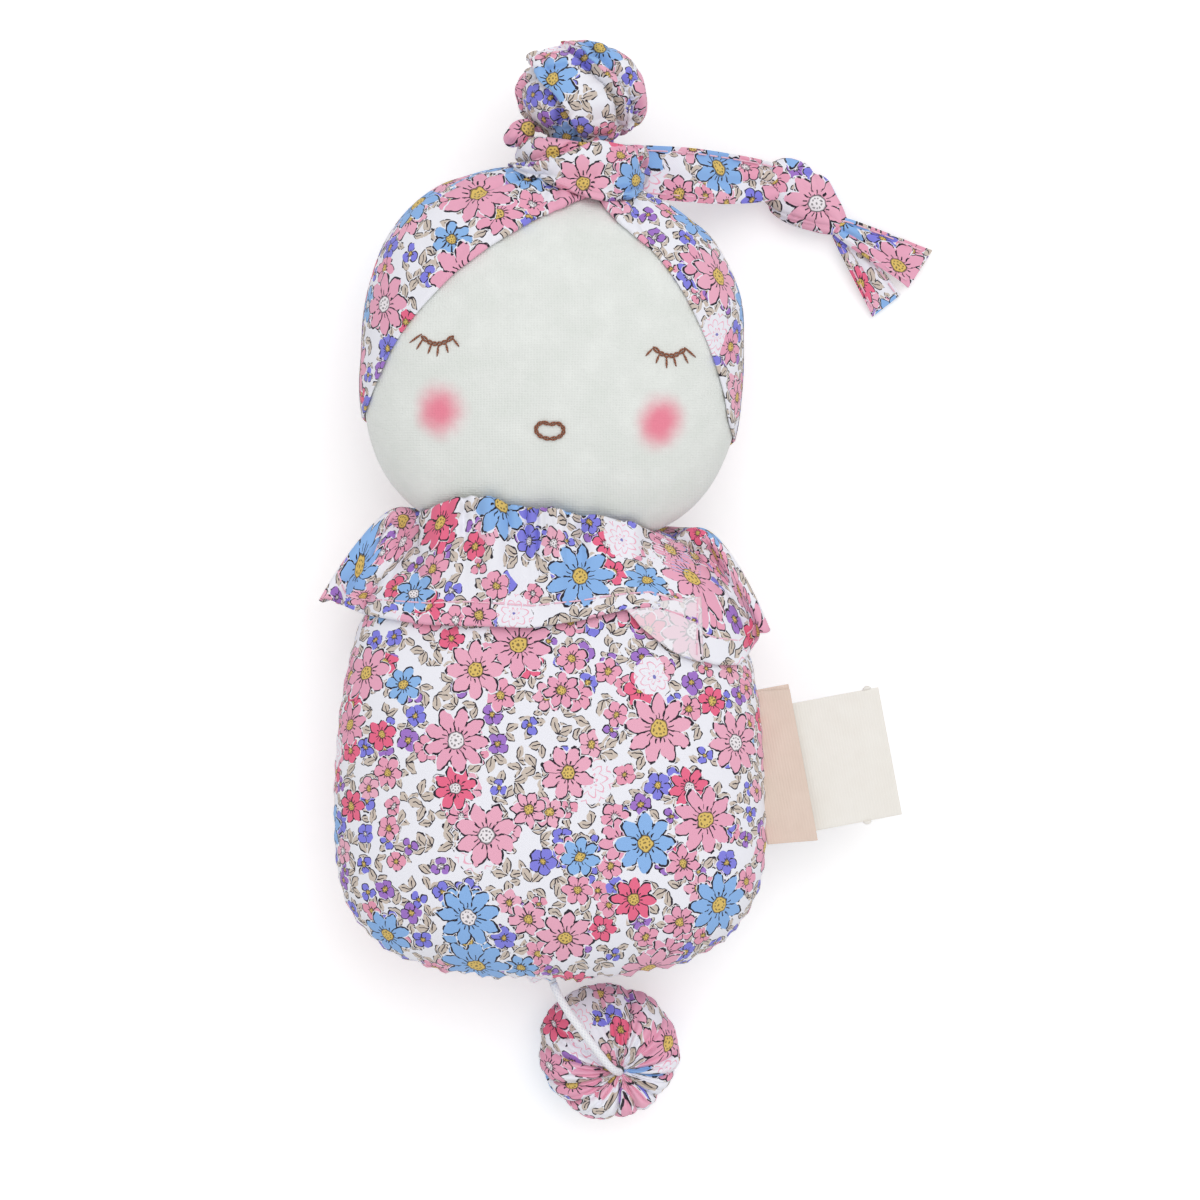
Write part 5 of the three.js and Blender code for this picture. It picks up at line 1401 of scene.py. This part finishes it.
# %% Collar
collar_place = Matrix.Translation((0, 73.5 * mm, 28.8 * mm)) @ Matrix.Rotation(radians(-4), 4, "Z")
neck_ring, roll_ring, hem_ring = (32, 0, 17.4), (41, 5.5, 26), (54.5, -21.5, 28.4)
bend_ring = [1.35 * b - 0.175 * (a + c) for a, b, c in zip(neck_ring, roll_ring, hem_ring)]
roll_line = [(-60, 66), (-50, 70), (-42, 74.5), (-33, 77.5), (-28, 78.8), (-23.5, 81), (-19, 81.6),
             (-14, 80.3), (-4.5, 78.5), (5, 77.5), (14, 76), (23.5, 73.7), (34, 70.5), (43, 68), (60, 64)]
hem_line_up = [(-58, 57.5), (-56, 56.7), (-46.5, 52.5), (-30, 50), (-4, 49.2), (7.5, 51),
               (19, 53.7), (25, 54.5), (37, 50.5), (47, 46), (52.5, 47), (60, 50)]
turned_drop = [(36.4, 0), (37.2, 9), (41, 8.5), (47, 6), (52.5, 0.5)]
roll_at = 0.28
waves_round, gathers_round = 13, 47
squareness = 2 / 2.4


def read_off(line, x):
    return float(np.interp(x, [row[0] for row in line], [row[1] for row in line]))


def signed_power(value, exponent):
    return copysign(abs(value) ** exponent, value)


def chest(x, y):
    """The height of the body's front under a point, above the table."""
    return seam_height + surface_height(body_form, x, y)


def chin(x, y):
    """The height of the face over a point, above the table."""
    local = head_place.inverted() @ Vector((x, y, 0))
    if outline_share(head_form, local.x, local.y) >= 1:
        return 0.0
    return head_place.translation.z + surface_height(head_form, local.x, local.y)


def ring_point(angle, fall):
    """The collar as it stands freely round the neck."""
    width, rise, depth = ((1 - fall) ** 2 * a + 2 * fall * (1 - fall) * b + fall ** 2 * c
                          for a, b, c in zip(neck_ring, bend_ring, hem_ring))
    ripple = 1.9 * fall ** 2 * sin(waves_round * angle + 0.8 * sin(3 * angle))
    pressed = 1 - 0.9 * sin(angle) ** 2 if sin(angle) < 0 else 1
    gathers = 0.6 * sin(gathers_round * angle + 2 * sin(5 * angle)) * (1 - eased(fall, 0, 0.7))
    across = (width + (ripple + gathers) * pressed) * signed_power(cos(angle), squareness)
    up_depth = (depth + (ripple + gathers) * pressed) * signed_power(sin(angle), squareness)
    return collar_place @ (Vector((across, rise + 0.5 * ripple * cos(waves_round * angle), up_depth)) * mm)


def front_point(angle, fall):
    """The collar where it rolls over under the chin and lies on the chest, down to its hem at fall 1."""
    reach = 40 + 15 * eased(fall, 0, 1)
    x = reach * signed_power(cos(angle), squareness)
    roll, hem = read_off(roll_line, x), read_off(hem_line_up, x)
    heading = atan2(x, 112 - roll)
    folds = 0.9 * creased(58 * heading + 5 * sin(7 * heading + 1), 0.7)
    folds += 0.7 * sin(61 * heading + 4 * sin(9 * heading))
    slow = sin(15 * heading + 1.4) + 0.5 * sin(27 * heading + 0.3)
    e = max(0.0, (fall - roll_at) / (1 - roll_at))
    if fall < roll_at:
        y = roll - 8.5 * ((roll_at - fall) / roll_at) ** 1.5
    else:
        y = roll - (roll - hem) * e ** 0.95 - read_off(turned_drop, x) * eased(e, 0.5, 1)
    y += (0.22 * folds + 0.4 * slow) * exp(-((e / 0.3) ** 2)) * (fall / roll_at if fall < roll_at else 1)
    top = max(chin(x * mm, roll * mm), chest(x * mm, roll * mm)) / mm + 3.2
    bed = chest(x * mm, y * mm) / mm + 1.9
    if fall < roll_at:
        z = top - 9 * ((roll_at - fall) / roll_at) ** 2
    else:
        z = top + (bed - top) * e ** 1.25 + 1.6 * sin(pi * e) ** 2
    z += 0.95 * folds * exp(-(((e - 0.12) / 0.34) ** 2)) + 0.9 * slow * sin(pi * min(1.0, 0.25 + 0.75 * e))
    z += 0.7 * dents(Vector((x, y, 0)), 9, 21) * eased(e, 0, 0.5)
    return Vector((x, y, z)) * mm


def collar_point(angle, fall):
    front = eased(sin(angle), 0.04, 0.42)
    spot = ring_point(angle, fall)
    if front > 0:
        spot = spot.lerp(front_point(angle, fall), front)
        spot.z = max(spot.z, chest(spot.x, spot.y) + 1.0 * mm, chin(spot.x, spot.y) + 0.8 * mm)
    spot.z = max(spot.z, 0.9 * mm)
    return spot


around_count, fall_count = 720, 56
hem_run = [0.0]
for step in range(around_count):
    turns = [tau * (step + more) / around_count - pi / 2 for more in (0, 1)]
    ends = [Vector((54.5 * signed_power(cos(turn), 0.8333), 30 * signed_power(sin(turn), 0.8333)))
            for turn in turns]
    hem_run.append(hem_run[-1] + (ends[1] - ends[0]).length * mm)
turns_run = np.linspace(0, 1, around_count + 1)


def collar_flat(turn, up):
    return (float(np.interp(turn, turns_run, hem_run)) + 0.53, 0.36 - (0.5 - up) * 39 * mm)


collar = grid_cloth("collar", around_count, fall_count,
                    lambda turn, up: collar_point(turn * tau - pi / 2, 0.5 - up), collar_flat)
worked(collar, "WELD", merge_threshold=0.01 * mm)
edited(collar, lambda: bpy.ops.mesh.normals_make_consistent(inside=False))
worked(collar, "SOLIDIFY", thickness=fold_thickness, offset=0)
in_print(collar, "collar_frill")

# %% Turned corner of the collar
fold_line = Vector((18.2, 54.6)), Vector((37.4, 56.8))
free_edge = Vector((22.5, 49.6)), Vector((37.9, 40.6))


def corner_spot(right, up):
    """A place on the turned corner, from its fold line down to its free edge, seen from above."""
    down = 0.5 - up
    spot = fold_line[0].lerp(fold_line[1], right).lerp(free_edge[0].lerp(free_edge[1], right), down) * mm
    spot.y -= 1.6 * mm * sin(pi * right) * down
    return spot


def corner_place(right, up):
    spot = corner_spot(right, up)
    return (spot.x, spot.y, chest(spot.x, spot.y) + (1.3 + 0.5 * sin(pi * (0.5 - up))) * mm)


def corner_flat(right, up):
    spot = corner_spot(right, up)
    return (spot.x + 0.2, spot.y * 1.1 + 0.1)


turned_corner = grid_cloth("collar_turned_corner", 32, 32, corner_place, corner_flat)
worked(turned_corner, "SOLIDIFY", thickness=0.5 * mm, offset=0)
finished(turned_corner, "doll", wrong_side)

# %% Hem stitching of the collar
hem_line = []
for step in range(900):
    angle = pi * 0.96 - step / 899 * pi * 0.92
    hem_line.append(collar_point(angle, 0.86) + Vector((0, 0, 0.5 * mm)))
corner_line = []
for step in range(60):
    down = step / 59
    spot = Vector((36.6 - 0.3 * down, 56 - 15.2 * down)) * mm
    corner_line.append(Vector((spot.x, spot.y, chest(spot.x, spot.y) + (1.75 + 0.5 * sin(pi * down)) * mm)))
hem_seam = tube("collar_hem_stitching", stitches(hem_line) + stitches(corner_line), thread_radius, sides=6)
finished(hem_seam, "doll", pink_thread)

# %% [markdown]
# Two bare woven tapes are sewn into the side seam. Woven label tape is smooth and a little
# shiny, with a fine cross rib and a firm edge. The short one is folded double; the long one is
# a single strip, tucked under it, with small knots of thread at its outer corners.

# %% Label tape
def woven_tape(name, deep, pale):
    material, tree = new_material(name)
    run = along_cloth(tree)
    rib = add(tree, "Math SINE", ("MULTIPLY", run.outputs[0], tau / (0.7 * mm)))
    slub = add(tree, "TexNoise",
               named={"Vector": add(tree, "TexCoord").outputs["Object"], "Scale": 220.0, "Detail": 3.0})
    colour = add(tree, "ValToRGB", slub, stops=[(0, deep), (1, pale)])
    relief = add(tree, "Bump", named={"Strength": 0.25, "Distance": 0.08 * mm, "Height": rib})
    skin = add(tree, "BsdfPrincipled",
               named={"Base Color": colour, "Roughness": 0.55, "Sheen Weight": 0.15, "Normal": relief})
    add(tree, "OutputMaterial", skin)
    return material


tape = woven_tape("white woven satin tape", "ece7df", "f3f0ea")
# The short label's tape is peach. Its colours are also darkened with painted shade and tinted with a painted
# pink reflection of the body's print.
peach_tape_with_painted_shade = woven_tape("peach woven satin tape, folded double", "ddc7b8", "e9d6c8")

# %% Labels
label_root = Matrix.Translation((51.75 * mm, 14 * mm, seam_height))
label_turn = Matrix.Rotation(radians(10.5), 4, "Z") @ Matrix.Rotation(radians(7), 4, "Y")
tuck = 1.0


def label(name, reach, width, drop, lift, curl, layers, node, cloth):
    """A label of one or two layers: each has its height over the first and how far it spreads sideways."""
    strips = []
    for layer_lift, spread in layers:
        def flat(out, side):
            return (((reach + tuck) * out - tuck) * mm, (side * width + spread * out - drop) * mm)

        def place(out, side):
            z = lift + layer_lift + curl * out * out + 0.12 * sin(side * 5 + out * 3)
            return label_root @ label_turn @ Vector((*flat(out, side), z * mm))

        strip = grid_cloth(f"{name}_{len(strips)}", 40, 40, place, flat)
        worked(strip, "SOLIDIFY", thickness=0.3 * mm, offset=0)
        worked(strip, "BEVEL", width=0.1 * mm, segments=2, limit_method="ANGLE", angle_limit=radians(60))
        strips.append(strip)
    bpy.ops.object.select_all(action="DESELECT")
    for strip in strips:
        strip.select_set(True)
    bpy.context.view_layer.objects.active = strips[0]
    if len(strips) > 1:
        bpy.ops.object.join()
    strips[0].name = name
    return finished(strips[0], "doll", cloth, [node])


short_label = label("label_short", reach=11.5, width=38.5, drop=0, lift=0.5, curl=0.9,
                    layers=[(0.0, 0.0), (0.5, -1.3)], node="seam_label_short", cloth=peach_tape_with_painted_shade)
long_label = label("label_long", reach=34, width=32.5, drop=2, lift=-0.6, curl=0.6,
                   layers=[(0.0, 0.0)], node="seam_label_long", cloth=tape)
nubs = []
for side in (-1, 1):
    foot = Vector((27 + side * 3, side * 16.3 - 2, 0.1))
    nubs.append([label_root @ label_turn @ ((foot + Vector((dx * 0.8, side * 0.35 * sin(dx * 1.2), 0))) * mm)
                 for dx in (0, 0.5, 1.0, 1.5, 2.0, 2.5)])
label_knots = finished(tube("label_thread_nubs", nubs, 0.5 * mm, taper=capsule), "doll", tape)

# %% [markdown]
# The pom is a round of cloth whose edge is drawn up on a thread, over a little filling, with the
# cord's knot inside. Its back is smooth. Its front is all folds that run in to the gathering
# point, deep there and fading to a scalloped rim. The print runs with the cloth, so it is
# squeezed into slivers near the middle.

# %% Pom
pom_radius, pom_height = 17.2, 11.0
gather_shift = Vector((3, -5.6, 0))
gather_hole = cos(0.066)
back_run = 18
pom_folds = 13


def fold_phase(angle):
    """Grows by one turn from each fold of the pom to the next, so that no two folds are as wide."""
    return pom_folds * angle + 1.5 * sin(2 * angle + 1) + 0.9 * sin(5 * angle)


turns = np.linspace(0, tau, 721)
fold_phases = np.array([fold_phase(turn) for turn in turns])


def fold_middle(angle):
    """The angle of the middle of the fold that an angle lies on."""
    wanted = tau * round(fold_phase(angle % tau) / tau)
    return float(np.interp(wanted, fold_phases, turns))


def pom_spot(point, inset, gathered):
    """A point of the unit ball carried to the pom: with its folds, or plain for the filling."""
    polar = acos(max(-1.0, min(1.0, point.z)))
    angle = atan2(point.y, point.x)
    front = max(0.0, cos(polar))
    dimple = 5.0 * exp(-((polar / 0.5) ** 2))
    wide = sin(polar)
    large = fine = 0.0
    if gathered:
        puff = exp(-((remainder(angle - 2.2, tau) / 0.5) ** 2))
        large = creased(fold_phase(angle), 0.45) * (1 - 0.7 * puff)
        fine = creased(31 * angle + 2.2 * sin(3 * angle + 2) + 1.5 * wide, 0.5) * (1 - 0.6 * puff)
    lumps = 0.022 * sin(3 * angle + 1) + 0.014 * sin(7 * angle + 2)
    radius = (pom_radius - inset) * wide * (1 + lumps + (0.06 * large + 0.025 * fine) * sin(polar / 2 + 0.5))
    height = (pom_height - inset) * cos(polar) - dimple
    height += large * 4.6 * wide ** 0.7 * front ** 0.4
    height += fine * 2.6 * wide ** 0.6 * front ** 0.5 * exp(-(max(0.0, wide - 0.45) / 0.35) ** 2)
    spot = Vector((radius * cos(angle), 0.94 * radius * sin(angle) - 0.6 * (1 - front), height))
    return spot + gather_shift * front


def pom_place(inset, gathered, lowest):
    """Puts a point of the ball on the pom, or inside it, and not below the lowest height."""
    def place(point):
        spot = pom_middle + pom_spot(point, inset, gathered) * mm
        return Vector((spot.x, spot.y, max(spot.z, lowest * mm)))
    return place


def pom_flat(vertex, polygon):
    """The back is laid out round its middle. In front each fold is a strip that runs in from the rim."""
    point = on_ball[vertex]
    middle = sum((on_ball[i] for i in polygon.vertices), Vector()) / len(polygon.vertices)
    wide, angle = hypot(point.x, point.y), atan2(point.y, point.x)
    if middle.z < 0:
        flat = Vector((cos(angle), sin(angle))) * back_run * wide
    else:
        fold = fold_middle(atan2(middle.y, middle.x))
        rim = Vector((pom_radius * cos(angle), pom_radius * sin(angle), 0))
        run = back_run + (pom_spot(point, 0, False) - rim).length
        beside = 1.15 * pom_radius * wide * remainder(angle - fold, tau)
        flat = Vector((cos(fold), sin(fold))) * run + Vector((-sin(fold), cos(fold))) * beside
    return (flat.x * mm + 0.65, flat.y * mm + 0.1)


pom = without(unit_ball("pom", 336, 120), lambda point: point.z > gather_hole)
on_ball = [vertex.co.copy() for vertex in pom.data.vertices]
moved_points(pom, pom_place(0, True, 0.3))
cloth_map(pom.data, pom_flat)
worked(pom, "SOLIDIFY", thickness=fold_thickness, offset=-1)
in_print(pom, "pull_pom_cover", body="pull")

pom_wad = moved_points(unit_ball("pom_wad", 64, 32), pom_place(2.4, False, 1.6))
cut_by(pom_wad, start("cylinder", "knot_pocket", vertices=32, radius=2.9 * mm, depth=12 * mm,
                      location=knot_middle + Vector((0, 0, 3 * mm))))
finished(pom_wad, "pull", wadding, ["pull_pom_stuffing"])

# %% [markdown]
# The movement sits in the body, in a case of two moulded cups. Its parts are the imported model's
# own, because their shapes are right: only their finishes are made here. Metals get their colour
# from the metal itself and their look from how they were worked.

# %% Metals and plastic of the movement
def plain_finish(name, code, metallic, roughness, grain, stretch, depth):
    """A finish whose grain is a noise, drawn out along one axis where the metal was brushed."""
    material, tree = new_material(name)
    place = add(tree, "Mapping", add(tree, "TexCoord").outputs["Object"], named={"Scale": stretch})
    marks = add(tree, "TexNoise", named={"Vector": place, "Scale": grain, "Detail": 4.0, "Roughness": 0.6})
    dark = tuple(0.8 * c for c in linear(code)[:3]) + (1.0,)
    colour = add(tree, "Mix", data_type="RGBA", named={0: marks, 6: dark, 7: linear(code)}).outputs[2]
    rough = add(tree, "MapRange",
                named={"Value": marks, "To Min": roughness * 0.8, "To Max": roughness * 1.25})
    relief = add(tree, "Bump", named={"Strength": 0.3, "Distance": depth, "Height": marks})
    skin = add(tree, "BsdfPrincipled",
               named={"Base Color": colour, "Metallic": metallic, "Roughness": rough, "Normal": relief})
    add(tree, "OutputMaterial", skin)
    return material


finishes = {
    # Ground spring steel: long fine scratches
    "steel": plain_finish("ground spring steel", "c4c6c8", 1.0, 0.3, 900.0, (0.12, 1, 1), 0.02 * mm),
    # Turned brass: warm, with close rings from the lathe
    "brass": plain_finish("turned brass", "d0a850", 1.0, 0.28, 1100.0, (1, 0.15, 0.15), 0.02 * mm),
    # Die-cast zinc: grey, with the fine frost of the die
    "zinc": plain_finish("die-cast zinc", "b6b8ba", 1.0, 0.45, 700.0, (1, 1, 1), 0.05 * mm),
    # Moulded polystyrene: off-white with a spark-eroded texture
    "white_plastic": plain_finish("moulded polystyrene", "e6e4dc", 0.0, 0.42, 1300.0, (1, 1, 1), 0.03 * mm),
}
for row in frame["record"]["subparts"]:
    node = nodes[row["node"]]
    if row["material_slot"] in finishes:
        node.data.materials.clear()
        node.data.materials.append(finishes[row["material_slot"]])
